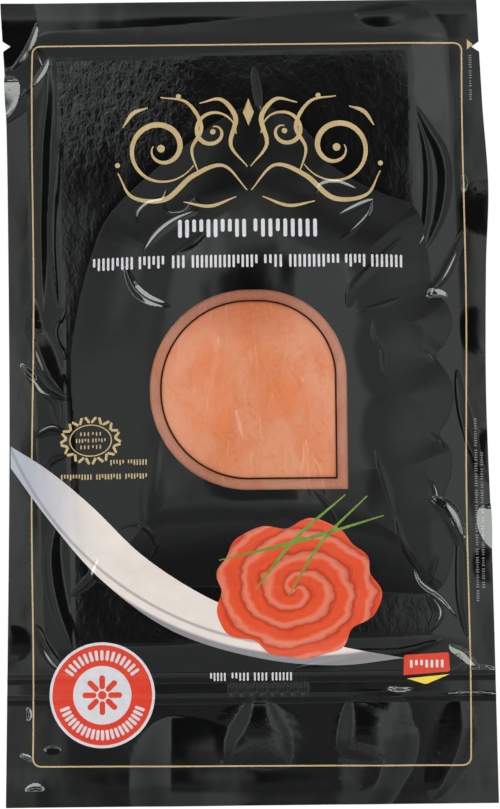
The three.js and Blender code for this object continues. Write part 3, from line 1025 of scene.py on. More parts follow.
def brush(route: Array, widest: float, thinnest: float = 0.35) -> Array:
    """Draws a stroke that swells from thin ends to its middle.

    Args:
        route: the stroke's middle line.
        widest: its width at its middle.
        thinnest: its width at its ends.

    Returns:
        The stroke's outline.
    """
    ahead = np.gradient(route, axis=0)
    ahead /= np.linalg.norm(ahead, axis=1, keepdims=True)
    across = np.stack([-ahead[:, 1], ahead[:, 0]], 1)
    swell = np.sin(np.linspace(0, math.pi, len(route))) ** BRUSH_SWELL
    half = (thinnest + (widest - thinnest) * swell)[:, None] / 2
    return np.vstack([route - across * half, (route + across * half)[::-1]])


def scroll(x: float, y: float, radii: Point, turns: Point, step: float = 0.6) -> Array:
    """Draws a spiral's middle line.

    Args:
        x: its centre across.
        y: its centre along.
        radii: its first and last radius.
        turns: its first and last angle, in turns.
        step: about how far apart its points are.

    Returns:
        Its points.
    """
    length = math.pi * abs(turns[1] - turns[0]) * (radii[0] + radii[1])
    t = np.linspace(0, 1, max(int(length / step), 12))
    angle = 2 * math.pi * (turns[0] + (turns[1] - turns[0]) * t)
    radius = radii[0] + (radii[1] - radii[0]) * t
    return np.stack([x + radius * np.cos(angle), y + radius * np.sin(angle)], 1)


@dataclass(frozen=True)
class Dashes:
    """A row of upright dashes that stands for a line of words.

    Words are the first and last x of each. The row reaches from low to high, and pitch is the dashes' spacing over
    their width. Starts are the shares of the row's height that a dash may start above low, one of them at random.
    """

    ink: Ink
    words: tuple[Point, ...]
    low: float
    high: float
    stroke: float
    seed: int
    pitch: float = 1.85
    starts: tuple[float, ...] = (0, 0, 0, 0.3)

    def patches(self) -> list[Patch]:
        """Draws the row.

        Returns:
            A patch for each word.
        """
        pick = np.random.default_rng(self.seed)
        patches = []
        for start, end in self.words:
            count = max(int(round((end - start) / (self.stroke * self.pitch))), 1)
            gap = (end - start - self.stroke) / max(count - 1, 1)
            loops = []
            for i in range(count):
                low = self.low + (self.high - self.low) * pick.choice(self.starts)
                middle = start + self.stroke / 2 + gap * i
                loops.append(bar(middle, (low + self.high) / 2, self.stroke, self.high - low))
            patches.append(Patch(self.ink, tuple(loops)))
        return patches


TITLES: tuple[Dashes, ...] = (
    # above the window, and the second line under that
    Dashes(Ink.WHITE, ((-20.5, 0.2), (2.5, 21.8)), 49.0, 54.6, 1.15, 1),
    Dashes(
        Ink.WHITE,
        (
            (-46.8, -34.4), (-32.6, -24.8), (-22.4, -18.6), (-16.4, 3.6),
            (5.6, 11.0), (13.2, 28.4), (30.2, 36.4), (38.2, 47.8),
        ),
        39.7, 43.6, 0.72, 2,
    ),
    # on the skirt
    Dashes(Ink.WHITE, ((-12.1, -7.4), (-5.6, -0.4), (1.2, 5.2), (6.6, 12.7)), -85.6, -83.1, 0.55, 3),
    # under the emblem
    Dashes(Ink.GOLD, ((-41.8, -37.6), (-36.4, -30.6)), -19.95, -18.25, 0.45, 4),
    Dashes(Ink.GOLD, ((-57.0, -47.6), (-46.2, -38.6), (-37.2, -30.6)), -24.15, -22.45, 0.45, 4),
)


@dataclass(frozen=True)
class GoldFrame:
    """The thin gold frame along the pack's edges, which sways a little with the film."""

    corners: tuple[Point, ...] = ((-66.2, -110.9), (66.6, -111.7), (67.4, 109.6), (-65.0, 109.7))
    radius: float = 2.3
    width: float = 0.46
    step: float = 1.0
    sway: float = 0.3
    sway_wave: float = 19
    sway_from: float = 60

    def loop(self, inset: float) -> Array:
        """Draws one edge of the frame's line.

        Args:
            inset: how far it is drawn in from the line's middle.

        Returns:
            Its points.
        """
        corners = np.array(self.corners)
        corners = corners - np.sign(corners - corners.mean(0)) * inset
        radius = self.radius - inset
        points = []
        for i, (x, y) in enumerate(corners):
            turn = np.radians(180 + 90 * i + np.linspace(0, 90, 8))
            middle = np.array([x, y]) - np.sign([x, y]) * radius
            points.append(middle + radius * np.stack([np.cos(turn), np.sin(turn)], 1))
        loop = evenly(np.vstack(points), self.step)
        loop[:, 0] += self.sway * np.sin(loop[:, 1] / self.sway_wave) * (np.abs(loop[:, 0]) > self.sway_from)
        return loop

    def patches(self) -> list[Patch]:
        """Draws the frame between the two edges of its line."""
        return [Patch(Ink.GOLD, (self.loop(-self.width / 2), self.loop(self.width / 2)))]


@dataclass(frozen=True)
class Flourish:
    """A mirrored scroll ornament in gold, given by its right half.

    A spiral is a centre, two radii, two angles in turns and a width. An arc is a route, its steps and a width, and
    a dot a centre and a radius.
    """

    at: Point = (1.3, 76.0)
    spirals: tuple[tuple[Point, Point, Point, float], ...] = (
        ((27, 1.5), (11.5, 2.4), (-0.42, 1.05), 1.7),
        ((11, 6.5), (7.2, 1.6), (0.52, -0.75), 1.3),
    )
    arcs: tuple[tuple[tuple[Point, ...], int, float], ...] = (
        (((0.6, -12.5), (8, -4.5), (17, -7.4), (26, -14.8), (36, -13.4), (40.3, -6)), 60, 1.6),
        (((0.5, -5), (5.5, 2), (4, 11), (8.5, 16.6), (15, 15.5)), 44, 1.5),
        (((15.5, -6.6), (17.5, 1), (14.5, 8), (19, 15.8), (27, 17.4)), 44, 1.2),
        (((4, -14.5), (12, -17.3), (20, -15.8)), 24, 1.0),
        (((31, 14.2), (35.5, 12.5), (38.6, 8.2)), 18, 1.2),
    )
    dots: tuple[tuple[float, float, float], ...] = (
        (27, 1.5, 1.2), (11, 6.5, 0.9), (21.5, 17.6, 0.8), (40.4, -3.6, 0.8),
    )
    lozenge: tuple[Point, ...] = ((0, 8.1), (1.7, 12.5), (0, 16.9), (-1.7, 12.5))

    def patches(self) -> list[Patch]:
        """Draws both halves, and the lozenge between them.

        Returns:
            A patch for each stroke and dot.
        """
        strokes = [(scroll(*centre, radii, turns), width) for centre, radii, turns, width in self.spirals]
        strokes += [(curve(route, steps), width) for route, steps, width in self.arcs]
        loops = []
        for way in (1, -1):
            loops += [brush(route * (way, 1) + self.at, width) for route, width in strokes]
            loops += [ring(self.at[0] + way * u, self.at[1] + v, radius) for u, v, radius in self.dots]
        loops.append(np.array(self.lozenge) + self.at)
        return [Patch(Ink.GOLD, (loop,)) for loop in loops]


@dataclass(frozen=True)
class EdgeNotes:
    """Fine grey dashes that stand for the small lines printed up the right edge, and its gold arrow.

    A column is its x and its lowest and highest y, a word its least and greatest length, and a dash its width and
    height. A share of the dashes is a little short.
    """

    columns: tuple[tuple[float, float, float], ...] = (
        (69.6, -62.0, -6.0), (71.4, -58.0, -20.0), (69.8, 92.0, 104.0),
    )
    seed: int = 6
    word: Point = (1.6, 4.6)
    word_gap: float = 0.9
    pitch: float = 0.72
    dash: Point = (0.95, 0.36)
    short_by: float = 0.3
    short_share: float = 0.3
    arrow: tuple[Point, ...] = ((68.9, 110.7), (68.9, 107.5), (70.7, 109.1))

    def patches(self) -> list[Patch]:
        """Draws the dashes and the arrow.

        Returns:
            A patch for all the dashes, and one for the arrow.
        """
        pick = np.random.default_rng(self.seed)
        loops = []
        for x, low, high in self.columns:
            y = low
            while y < high:
                length = pick.uniform(*self.word)
                for step in np.arange(0, length, self.pitch):
                    width = self.dash[0] - self.short_by * (pick.random() < self.short_share)
                    loops.append(bar(x, y + step, width, self.dash[1]))
                y += length + self.word_gap
        return [Patch(Ink.GREY, tuple(loops)), Patch(Ink.GOLD, (np.array(self.arrow),))]


@dataclass(frozen=True)
class Emblem:
    """A small oval wreath in gold with rows of dashes in it.

    An oval is half its width, and its height over its width. The wreath is the two half widths of the leaves' ring,
    a leaf its length and breadth, and a row its height above the middle and half its width.
    """

    at: Point = (-47.8, -12.2)
    oval: Point = (6.6, 0.74)
    inner_oval: Point = (6.25, 0.73)
    leaves: int = 26
    wreath: Point = (8.4, 6.3)
    leaf: Point = (2.3, 0.8)
    leaf_turn: float = 34
    squeeze: float = 0.62
    rows: tuple[Point, ...] = ((2.0, 3.2), (0.0, 4.6), (-2.0, 3.2))
    row_half_height: float = 0.6
    row_half_gap: float = 0.5
    stroke: float = 0.42
    seed: int = 8

    def patches(self) -> list[Patch]:
        """Draws the oval, the wreath's leaves and the rows.

        Returns:
            Their patches.
        """
        x, y = self.at
        patches = [Patch(Ink.GOLD, (ring(x, y, *self.oval), ring(x, y, *self.inner_oval)))]
        for i in range(self.leaves):
            turn = 2 * math.pi * i / self.leaves
            u, v = self.wreath[0] * math.cos(turn), self.wreath[1] * math.sin(turn)
            angle = math.degrees(math.atan2(v / self.squeeze, u)) + (self.leaf_turn if i % 2 else -self.leaf_turn)
            patches.append(Patch(Ink.GOLD, (bar(x + u, y + v, *self.leaf, angle),)))
        for up, half in self.rows:
            words = ((x - half, x - self.row_half_gap), (x + self.row_half_gap, x + half))
            low, high = y + up - self.row_half_height, y + up + self.row_half_height
            patches += Dashes(Ink.GOLD, words, low, high, self.stroke, self.seed).patches()
        return patches


@dataclass(frozen=True)
class Roundel:
    """The round red mark: two rows of ticks round a plain rosette.

    A row of ticks is its first and last angle and its count. A tick and a petal are a length outward and a breadth.
    """

    at: Point = (-44.9, -89.5)
    rim: float = 16.0
    field_radius: float = 15.15
    tick_ring: float = 12.1
    tick: Point = (3.1, 0.95)
    tick_rows: tuple[tuple[float, float, int], ...] = ((35, 145, 15), (200, 340, 21))
    disc: float = 8.85
    petals: int = 8
    petal_ring: float = 3.9
    petal: Point = (4.2, 1.7)
    hub: float = 1.3

    def patches(self) -> list[Patch]:
        """Draws the mark.

        Returns:
            Its patches, the lower ones first.
        """
        x, y = self.at
        rows = [(Ink.WHITE, [ring(x, y, self.rim)]), (Ink.RED, [ring(x, y, self.field_radius)])]
        for row in self.tick_rows:
            rows.append((Ink.WHITE, around(x, y, self.tick_ring, np.linspace(*row), *self.tick)))
        rows.append((Ink.WHITE, [ring(x, y, self.disc)]))
        angles = [360 / self.petals * i for i in range(self.petals)]
        rows.append((Ink.RED, around(x, y, self.petal_ring, angles, *self.petal)))
        rows.append((Ink.RED, [ring(x, y, self.hub)]))
        return [Patch(ink, (loop,)) for ink, loops in rows for loop in loops]


@dataclass(frozen=True)
class Tag:
    """The plain red tag at the lower right, with a row of white dashes, and a yellow point below it."""

    body: tuple[Point, ...] = ((46.6, -84.4), (60.8, -83.4), (60.4, -77.6), (46.8, -78.3))
    foot: tuple[Point, ...] = ((47.6, -85.4), (60.6, -84.2), (53.4, -87.2))
    step: float = 0.8
    row: Dashes = Dashes(Ink.WHITE, ((48.6, 58.8),), -82.2, -79.8, 0.8, 9)

    def patches(self) -> list[Patch]:
        """Draws the tag.

        Returns:
            Its patches, the lower ones first.
        """
        fields = ((Ink.YELLOW, self.foot), (Ink.RED, self.body))
        fields = [Patch(ink, (evenly(np.array(corners), self.step),)) for ink, corners in fields]
        return [*fields, *self.row.patches()]


@dataclass(frozen=True)
class Serving:
    """The serving picture: the rim of a plate, a rosette of fish, and chives.

    The rosette's waves are the height, the number and the phase of each, as shares of its radius.
    """

    rim_lower: tuple[Point, ...] = (
        (-72.4, -20.2), (-61, -36), (-45, -54.5), (-24, -70), (2, -78.6), (26, -81.2), (47, -79.2),
    )
    rim_upper: tuple[Point, ...] = (
        (47, -79.2), (26, -75), (4, -67.4), (-14, -59.5), (-32, -47.5), (-48, -31.9), (-61, -21), (-72.4, -13.6),
    )
    steps: int = 150
    rosette_at: Point = (14.3, -58)
    rosette_half: Point = (24.6, 20.6)
    waves: tuple[tuple[float, int, float], ...] = ((0.05, 5, 0.6), (0.035, 8, 2.0), (0.02, 13, 0.0))
    chives: tuple[tuple[tuple[Point, ...], float], ...] = (
        (((29.4, -29.6), (14, -43), (2, -58)), 1.1),
        (((41, -36), (17, -43), (-9, -49)), 1.1),
        (((36, -30), (22, -44), (12, -60)), 0.9),
    )
    chive_steps: int = 40

    def patches(self) -> list[Patch]:
        """Draws the picture.

        Returns:
            Its patches, the lower ones first.
        """
        rim = np.vstack([curve(self.rim_lower, self.steps), curve(self.rim_upper, self.steps)[1:]])
        angle = np.linspace(0, 2 * math.pi, self.steps, endpoint=False)
        radius = 1 + sum(height * np.cos(number * angle + phase) for height, number, phase in self.waves)
        edge = np.stack([radius * np.cos(angle), radius * np.sin(angle)], 1)
        patches = [Patch(Ink.PLATE, (rim,)), Patch(Ink.FISH, (edge * self.rosette_half + self.rosette_at,))]
        for route, width in self.chives:
            patches.append(Patch(Ink.GREEN, (brush(curve(route, self.chive_steps), width),)))
        return patches


class Printed(Protocol):
    """A part of the print."""

    def patches(self) -> list[Patch]:
        """Its patches, the lower ones first."""


@dataclass(frozen=True)
class FrontPrint:
    """The print on the front web. Its parts stand in their order from below."""

    parts: tuple[Printed, ...] = (
        GoldFrame(), Flourish(), *TITLES, EdgeNotes(), Emblem(), Serving(), Roundel(), Tag(),
    )

    def patches(self) -> list[Patch]:
        """Every patch, the lower ones first."""
        return [patch for part in self.parts for patch in part.patches()]


# ---------------------------------------------------------------- shading
class Wire:
    """A value in a node tree. Python's operators on it add Math nodes."""

    def __init__(self, graph: "Graph", socket: bpy.types.NodeSocket) -> None:
        """Wraps an output socket."""
        self.graph = graph
        self.socket = socket

    def math(self, operation: str, *others: "Wire | float", first: bool = True) -> "Wire":
        """Adds a Math node.

        Args:
            operation: the node's operation.
            others: its other values.
            first: whether this value comes before them.

        Returns:
            The node's result.
        """
        values = (self, *others) if first else (*others, self)
        return self.graph.node("ShaderNodeMath", {"operation": operation}, dict(enumerate(values)))

    def __add__(self, other: "Wire | float") -> "Wire":
        """This plus another."""
        return self.math("ADD", other)

    def __radd__(self, other: float) -> "Wire":
        """A number plus this."""
        return self.math("ADD", other)

    def __sub__(self, other: "Wire | float") -> "Wire":
        """This less another."""
        return self.math("SUBTRACT", other)

    def __rsub__(self, other: float) -> "Wire":
        """A number less this."""
        return self.math("SUBTRACT", other, first=False)

    def __mul__(self, other: "Wire | float") -> "Wire":
        """This times another."""
        return self.math("MULTIPLY", other)

    def __rmul__(self, other: float) -> "Wire":
        """A number times this."""
        return self.math("MULTIPLY", other)

    def __truediv__(self, other: "Wire | float") -> "Wire":
        """This over another."""
        return self.math("DIVIDE", other)

    def __rtruediv__(self, other: float) -> "Wire":
        """A number over this."""
        return self.math("DIVIDE", other, first=False)

    def __pow__(self, other: float) -> "Wire":
        """This to a power."""
        return self.math("POWER", other)

    def __abs__(self) -> "Wire":
        """This without its sign."""
        return self.math("ABSOLUTE")

    def ramp(self, low: float, high: float) -> "Wire":
        """A smooth step from 0 where this is low to 1 where it is high. Low may be the greater of the two."""
        settings = {"interpolation_type": "SMOOTHSTEP"}
        return self.graph.node("ShaderNodeMapRange", settings, {"Value": self, 1: low, 2: high, 3: 0.0, 4: 1.0})


Colour = tuple[float, float, float]
# Where the noise is read at the pack's origin, away from its own lattice's corner.
NOISE_START = (40.3, 70.7)


class Graph:
    """A node tree that is being written."""

    def __init__(self, tree: bpy.types.NodeTree) -> None:
        """Clears the tree."""
        self.tree = tree
        tree.nodes.clear()

    def node(
        self, kind: str, settings: dict | None = None, inputs: dict | None = None, output: int | str = 0
    ) -> Wire:
        """Adds a node.

        Args:
            kind: the node's type.
            settings: its properties, set first.
            inputs: values or wires, by the name or the number of their sockets.
            output: the socket that is wanted of it.

        Returns:
            That output.
        """
        made = self.tree.nodes.new(kind)
        for name, value in (settings or {}).items():
            setattr(made, name, value)
        for key, value in (inputs or {}).items():
            socket = made.inputs[key]
            if isinstance(value, Wire):
                self.tree.links.new(value.socket, socket)
            elif isinstance(value, tuple) and socket.type == "RGBA":
                socket.default_value = (*value, 1.0)
            else:
                socket.default_value = value
        return Wire(self, made.outputs[output])

    def place(self) -> tuple[Wire, Wire]:
        """Where on the pack: x and y in millimetres."""
        place = self.node("ShaderNodeTexCoord", output="Object")
        return tuple(self.node("ShaderNodeSeparateXYZ", inputs={0: place}, output=i) / MM for i in range(2))

    def vector(self, x: Wire | float, y: Wire | float, z: Wire | float = 0.0) -> Wire:
        """Joins three values into a vector."""
        return self.node("ShaderNodeCombineXYZ", inputs={0: x, 1: y, 2: z})

    def noise(self, x: Wire, y: Wire, cell: Point, seed: float, detail: float = 2.0, warp: float = 0.0) -> Wire:
        """Smooth random values from 0 to 1.

        Args:
            x: the place across, in millimetres.
            y: the place along.
            cell: how far the values run before they change, across and along.
            seed: picks the pattern.
            detail: how many finer layers are added.
            warp: how much the pattern is twisted.

        Returns:
            The value.
        """
        place = self.vector(x / cell[0] + NOISE_START[0], y / cell[1] + NOISE_START[1], seed)
        inputs = {"Vector": place, "Scale": 1.0, "Detail": detail, "Distortion": warp}
        return self.node("ShaderNodeTexNoise", inputs=inputs)

    def mix(self, share: Wire | float, first: Wire | Colour, second: Wire | Colour) -> Wire:
        """Mixes two colours: the first at a share of 0, the second at 1."""
        return self.node("ShaderNodeMix", {"data_type": "RGBA"}, {0: share, 6: first, 7: second}, output=2)

    def bump(self, height: Wire) -> Wire:
        """The normal of a surface raised by a height in millimetres."""
        return self.node("ShaderNodeBump", inputs={"Strength": 1.0, "Distance": MM, "Height": height})

    def principled(
        self, colour: Wire | Colour, roughness: Wire | float, **others: float | Colour | Wire
    ) -> Wire:
        """Adds a Principled shader.

        Args:
            colour: its base colour.
            roughness: its roughness.
            others: its other sockets, by name with _ for a space.

        Returns:
            The shader.
        """
        inputs = {name.replace("_", " "): value for name, value in others.items()}
        inputs |= {"Base Color": colour, "Roughness": roughness}
        return self.node("ShaderNodeBsdfPrincipled", inputs=inputs)

    def blend(self, share: Wire | float, first: Wire, second: Wire) -> Wire:
        """Mixes two shaders: the first at a share of 0, the second at 1."""
        return self.node("ShaderNodeMixShader", inputs={0: share, 1: first, 2: second})

    def show(self, shader: Wire, kind: str = "ShaderNodeOutputMaterial") -> None:
        """Sends a shader to the tree's output, a node of the given type."""
        made = self.tree.nodes.new(kind)
        self.tree.links.new(shader.socket, made.inputs[0])


def srgb(red: float, green: float, blue: float) -> Colour:
    """A colour in linear light, from its values on a screen, 0 to 255."""
    return tuple(((c / 255 + 0.055) / 1.055) ** 2.4 if c > 10 else c / 255 / 12.92 for c in (red, green, blue))


def paint(name: str) -> tuple[bpy.types.Material, Graph]:
    """Makes an empty material.

    Args:
        name: its name.

    Returns:
        The material and its node tree.
    """
    material = bpy.data.materials.new(name)
    material.use_nodes = True
    return material, Graph(material.node_tree)


# The film's gloss, the depth in mm of its fine wrinkles, how much its roughness varies, and the name of the mesh
# layer that says where it crinkles.
FILM_GLOSS_IOR = 1.79
FILM_GLOSS_TINT = (0.93, 1.0, 0.945)
FILM_WRINKLE = 0.012
FILM_SMEAR = 0.02
CRINKLE = "crinkle"


@dataclass(frozen=True)
class PrintedFilm:
    """Glossy film with one ink under it. The ink is a little uneven, and the film crinkles on the bare board."""

    name: str
    light: Colour
    dark: Colour
    cell: Point = (3.0, 5.0)
    roughness: float = 0.055

    def colour(self, graph: Graph, x: Wire, y: Wire) -> Wire:
        """The ink's colour, which wanders between its dark and its light one."""
        return graph.mix(graph.noise(x, y, self.cell, 3.1), self.dark, self.light)

    def material(self) -> bpy.types.Material:
        """Writes the material.

        Returns:
            The material.
        """
        made, graph = paint(self.name)
        x, y = graph.place()
        crinkle = graph.node("ShaderNodeAttribute", {"attribute_name": CRINKLE}, output="Fac")
        pebbles = graph.noise(x, y, (1.6, 2.6), 0.0, 3.0, 0.8) + graph.noise(x, y, (3.6, 5.6), 5.0, 1.0)
        wrinkles = graph.noise(x, y, (5.0, 8.0), 9.0, 1.0)
        normal = graph.bump(pebbles * crinkle + wrinkles * FILM_WRINKLE)
        roughness = self.roughness + graph.noise(x, y, (9.0, 9.0), 2.0) * FILM_SMEAR
        gloss = {"IOR": FILM_GLOSS_IOR, "Specular_Tint": FILM_GLOSS_TINT}
        graph.show(graph.principled(self.colour(graph, x, y), roughness, Normal=normal, **gloss))
        return made


@dataclass(frozen=True)
class PlateFilm(PrintedFilm):
    """The printed plate rim: ivory, with a cool shade towards the left and grey grooves along its arc.

    The rim lies inside a circle, and its groove a little in from that. The shade grows from one x to the other.
    """

    centre: Point = (20.0, 25.0)
    radius: float = 104.0
    groove_at: float = 3.6
    shade_from: float = -42.0
    shade_to: float = -70.0
    shade: Colour = srgb(150, 160, 176)
    grey: Colour = srgb(112, 112, 120)

    def colour(self, graph: Graph, x: Wire, y: Wire) -> Wire:
        """Paints the ivory with its shade and grooves.

        Args:
            graph: the material's node tree.
            x: the place across.
            y: the place along.

        Returns:
            The colour.
        """
        dx, dy = x - self.centre[0], y - self.centre[1]
        depth = self.radius - (dx * dx + dy * dy) ** 0.5
        ivory = super().colour(graph, x, y)
        cool = graph.mix(x.ramp(self.shade_from, self.shade_to) * 0.8, ivory, self.shade)
        groove = (1 - abs(depth - self.groove_at).ramp(0.15, 0.7)) * 0.55
        edge = depth.ramp(1.5, 0.2)
        return graph.mix((edge + groove).math("MINIMUM", 0.85), cool, self.grey)


@dataclass(frozen=True)
class RosetteFilm(PrintedFilm):
    """The printed rosette of fish: petals that wind round its middle, pale at their rims and deep between them."""

    centre: Point = (14.3, -58.0)
    squeeze: float = 1.2
    winding: float = 6.84
    arms: float = 2.0
    waver: float = 7.0
    rim: Colour = srgb(232, 150, 122)
    deep: Colour = srgb(158, 34, 18)

    def colour(self, graph: Graph, x: Wire, y: Wire) -> Wire:
        """Paints petals from a spiral that noise bends.

        Args:
            graph: the material's node tree.
            x: the place across.
            y: the place along.

        Returns:
            The colour.
        """
        bend = graph.noise(x, y, (9.0, 7.0), 1.7, 2.0) * self.waver
        dx, dy = x - self.centre[0], (y - self.centre[1]) * self.squeeze
        radius = (dx * dx + dy * dy) ** 0.5 + bend
        turns = dy.math("ARCTAN2", dx) / (2 * math.pi)
        petal = (radius / self.winding + turns * self.arms).math("FRACT")
        between = 1 - petal.ramp(0.0, 0.25) * petal.ramp(1.0, 0.72)
        streak = graph.noise(radius, turns * 30.0, (0.9, 2.5), 4.0, 3.0)
        flesh = graph.mix(streak, self.dark, self.light)
        pale = graph.mix(petal.ramp(0.55, 0.95) * 0.85, flesh, self.rim)
        return graph.mix(between * 0.55, pale, self.deep)


FRONT_FINISHES: dict[Ink, PrintedFilm] = {
    Ink.PLAIN: PrintedFilm("plain_film", (0.0052, 0.0054, 0.0056), (0.003, 0.0031, 0.0032), roughness=0.12),
    Ink.BLACK: PrintedFilm("black_film", (0.0042, 0.0044, 0.0044), (0.0022, 0.0023, 0.0023)),
    Ink.GOLD: PrintedFilm("gold_ink", srgb(200, 178, 132), srgb(174, 150, 106), (6.0, 4.0)),
    Ink.WHITE: PrintedFilm("white_ink", srgb(214, 213, 217), srgb(196, 195, 200)),
    Ink.RED: PrintedFilm("red_ink", srgb(214, 66, 42), srgb(202, 54, 34)),
    Ink.YELLOW: PrintedFilm("yellow_ink", srgb(238, 212, 84), srgb(226, 198, 70)),
    Ink.PLATE: PlateFilm("plate_ink", srgb(230, 221, 212), srgb(212, 203, 196), (7.0, 5.0)),
    Ink.FISH: RosetteFilm("rosette_ink", srgb(226, 92, 58), srgb(204, 66, 36)),
    Ink.GREEN: PrintedFilm("chive_ink", srgb(132, 166, 74), srgb(70, 112, 40), (2.4, 2.4)),
    Ink.GREY: PrintedFilm("grey_ink", srgb(128, 128, 128), srgb(100, 100, 100)),
}


@dataclass(frozen=True)
class FishFlesh:
    """Smoked salmon: pale and orange patches, faint bands and lines of fat along the slice, and small specks."""

    name: str = "smoked_salmon"
    base: Colour = srgb(214, 140, 102)
    line_depth: float = 0.1
    grain_depth: float = 0.03
    roughness: float = 0.42
    roughness_spread: float = 0.2

    def material(self) -> bpy.types.Material:
        """Writes the material.

        Returns:
            The material.
        """
        made, graph = paint(self.name)
        x, y = graph.place()
        bend = (graph.noise(x, y, (16.0, 14.0), 6.0, 1.0) - 0.5) * 9.0
        patch = graph.noise(x + bend * 0.5, y, (8.0, 17.0), 8.4, 5.0, 0.3)
        left_tract = abs(x + bend * 0.6 + 10.0).ramp(9.5, 4.0) * abs(y + bend - 8.0).ramp(24.0, 12.0)
        right_tract = abs(x + bend * 0.6 - 13.0).ramp(9.0, 4.0) * abs(y + bend * 0.5).ramp(7.5, 3.0)
        tract = left_tract.math("MAXIMUM", right_tract)
        band = graph.noise(x + bend, y, (5.5, 34.0), 2.0, 2.0)
        top = (y + bend * 0.8).ramp(14.0, 30.0) * (x + bend).ramp(29.0, 6.0)
        low = (y + bend).ramp(-6.0, -26.0) * (x + bend).ramp(14.0, -18.0)
        mottle = graph.noise(x, y, (2.4, 4.2), 33.0, 4.0, 0.4)
        vein = abs(graph.noise(x, y, (6.0, 9.0), 41.0, 4.0, 0.6) - 0.5).ramp(0.02, 0.0)
        line = graph.noise(x + bend * 0.6, y, (1.2, 17.0), 12.0, 3.0)
        speck = graph.noise(x, y, (1.3, 1.7), 21.0, 2.0, 0.5)
        grain = graph.noise(x, y, (0.6, 1.1), 15.0, 2.0)
        layers = (
            # broad orange patches, and the two deep tracts down the slice
            (patch.ramp(0.42, 0.62) * 0.7, srgb(210, 116, 64)),
            (tract * patch.ramp(0.3, 0.55) * 0.75, srgb(214, 114, 54)),
            # pale bands, and the browner ends of the slice
            (band.ramp(0.5, 0.75) * 0.4, srgb(219, 148, 110)),
            (top * 0.85, srgb(182, 96, 54)),
            (low * 0.6, srgb(194, 110, 68)),
            # mottling, veins, lines of fat, specks and grain
            (mottle.ramp(0.48, 0.66) * 0.28, srgb(198, 112, 74)),
            (vein * patch.ramp(0.4, 0.6) * 0.4, srgb(196, 92, 44)),
            (line.ramp(0.6, 0.78) * 0.3, srgb(242, 186, 152)),
            (speck.ramp(0.62, 0.78) * 0.4, srgb(204, 92, 40)),
            (grain.ramp(0.35, 0.8) * 0.14, srgb(240, 176, 140)),
        )
        flesh = self.base
        for cover, tone in layers:
            flesh = graph.mix(cover, flesh, tone)
        normal = graph.bump(line * self.line_depth + grain * self.grain_depth)
        graph.show(graph.principled(flesh, self.roughness + grain * self.roughness_spread, Normal=normal))
        return made


@dataclass(frozen=True)
class ClearFilm:
    """The clear window: a gloss over nothing, a tinted band round its edge, and a fine dark line inside that.

    Blur is how far each edge of the line and the band fades. Gloss is the share of the light that the film mirrors,
    and a cover is the share that the band or the line holds back.
    """

    name: str
    window: Window
    blur: float = 0.1
    gloss: float = 0.035
    gloss_roughness: float = 0.09
    band_cover: float = 0.086
    band_cover_spread: float = 0.03
    line_cover: float = 0.94
    line_dulling: float = 0.85
    band_light: Colour = (0.035, 0.14, 0.18)
    band_dark: Colour = (0.02, 0.1, 0.13)
    line_tint: Colour = (0.045, 0.01, 0.003)
    ripple: float = 0.012

    def inside(self, graph: Graph, x: Wire, y: Wire, inset: float) -> Wire:
        """Measures how far inside the window's outline a place is.

        Args:
            graph: the material's node tree.
            x: the place across.
            y: the place along.
            inset: how far the outline is drawn in.

        Returns:
            The distance, below zero outside.
        """
        window = self.window
        depth = x - (window.left + inset)
        for edge in ((window.right - inset) - x, y - (window.bottom + inset), (window.top - inset) - y):
            depth = depth.math("MINIMUM", edge)
        big, small = window.left_radius, window.top_right_radius
        corners = (
            (window.right - small, window.top - small, 1, 1, small),
            (window.left + big, window.top - big, -1, 1, big),
            (window.left + big, window.bottom + big, -1, -1, big),
        )
        for cx, cy, way_x, way_y, radius in corners:
            dx = ((x - cx) * way_x).math("MAXIMUM", 0.0)
            dy = ((y - cy) * way_y).math("MAXIMUM", 0.0)
            both = dx.math("GREATER_THAN", 0.0) * dy.math("GREATER_THAN", 0.0)
            corner = (radius - inset) - (dx * dx + dy * dy) ** 0.5
            depth = depth * (1 - both) + corner.math("MINIMUM", depth) * both
        return depth

    def material(self) -> bpy.types.Material:
        """Writes the material.

        Returns:
            The material.
        """
        made, graph = paint(self.name)
        x, y = graph.place()
        depth = self.inside(graph, x, y, self.window.line_inset)
        half = self.window.line_width / 2
        line = abs(depth).ramp(half + self.blur, half - self.blur)
        band = depth.ramp(self.blur, -self.blur)
        shade = graph.noise(x, y, (12.0, 12.0), 4.0, 1.0)
        cover = band * (self.band_cover + shade * self.band_cover_spread)
        cover = cover.math("MAXIMUM", line * self.line_cover)
        tint = graph.mix(line.ramp(0.0, 0.2), graph.mix(shade, self.band_dark, self.band_light), self.line_tint)
        clear = graph.node("ShaderNodeBsdfTransparent")
        under = graph.blend(cover, clear, graph.principled(tint, 0.5, Specular_IOR_Level=0.0))
        normal = graph.bump(graph.noise(x, y, (4.0, 7.0), 3.0, 1.0) * self.ripple)
        mirror = {"Roughness": self.gloss_roughness, "Normal": normal}
        gloss = graph.node("ShaderNodeBsdfAnisotropic", inputs=mirror)
        graph.show(graph.blend((1 - line * self.line_dulling) * self.gloss, under, gloss))
        return made


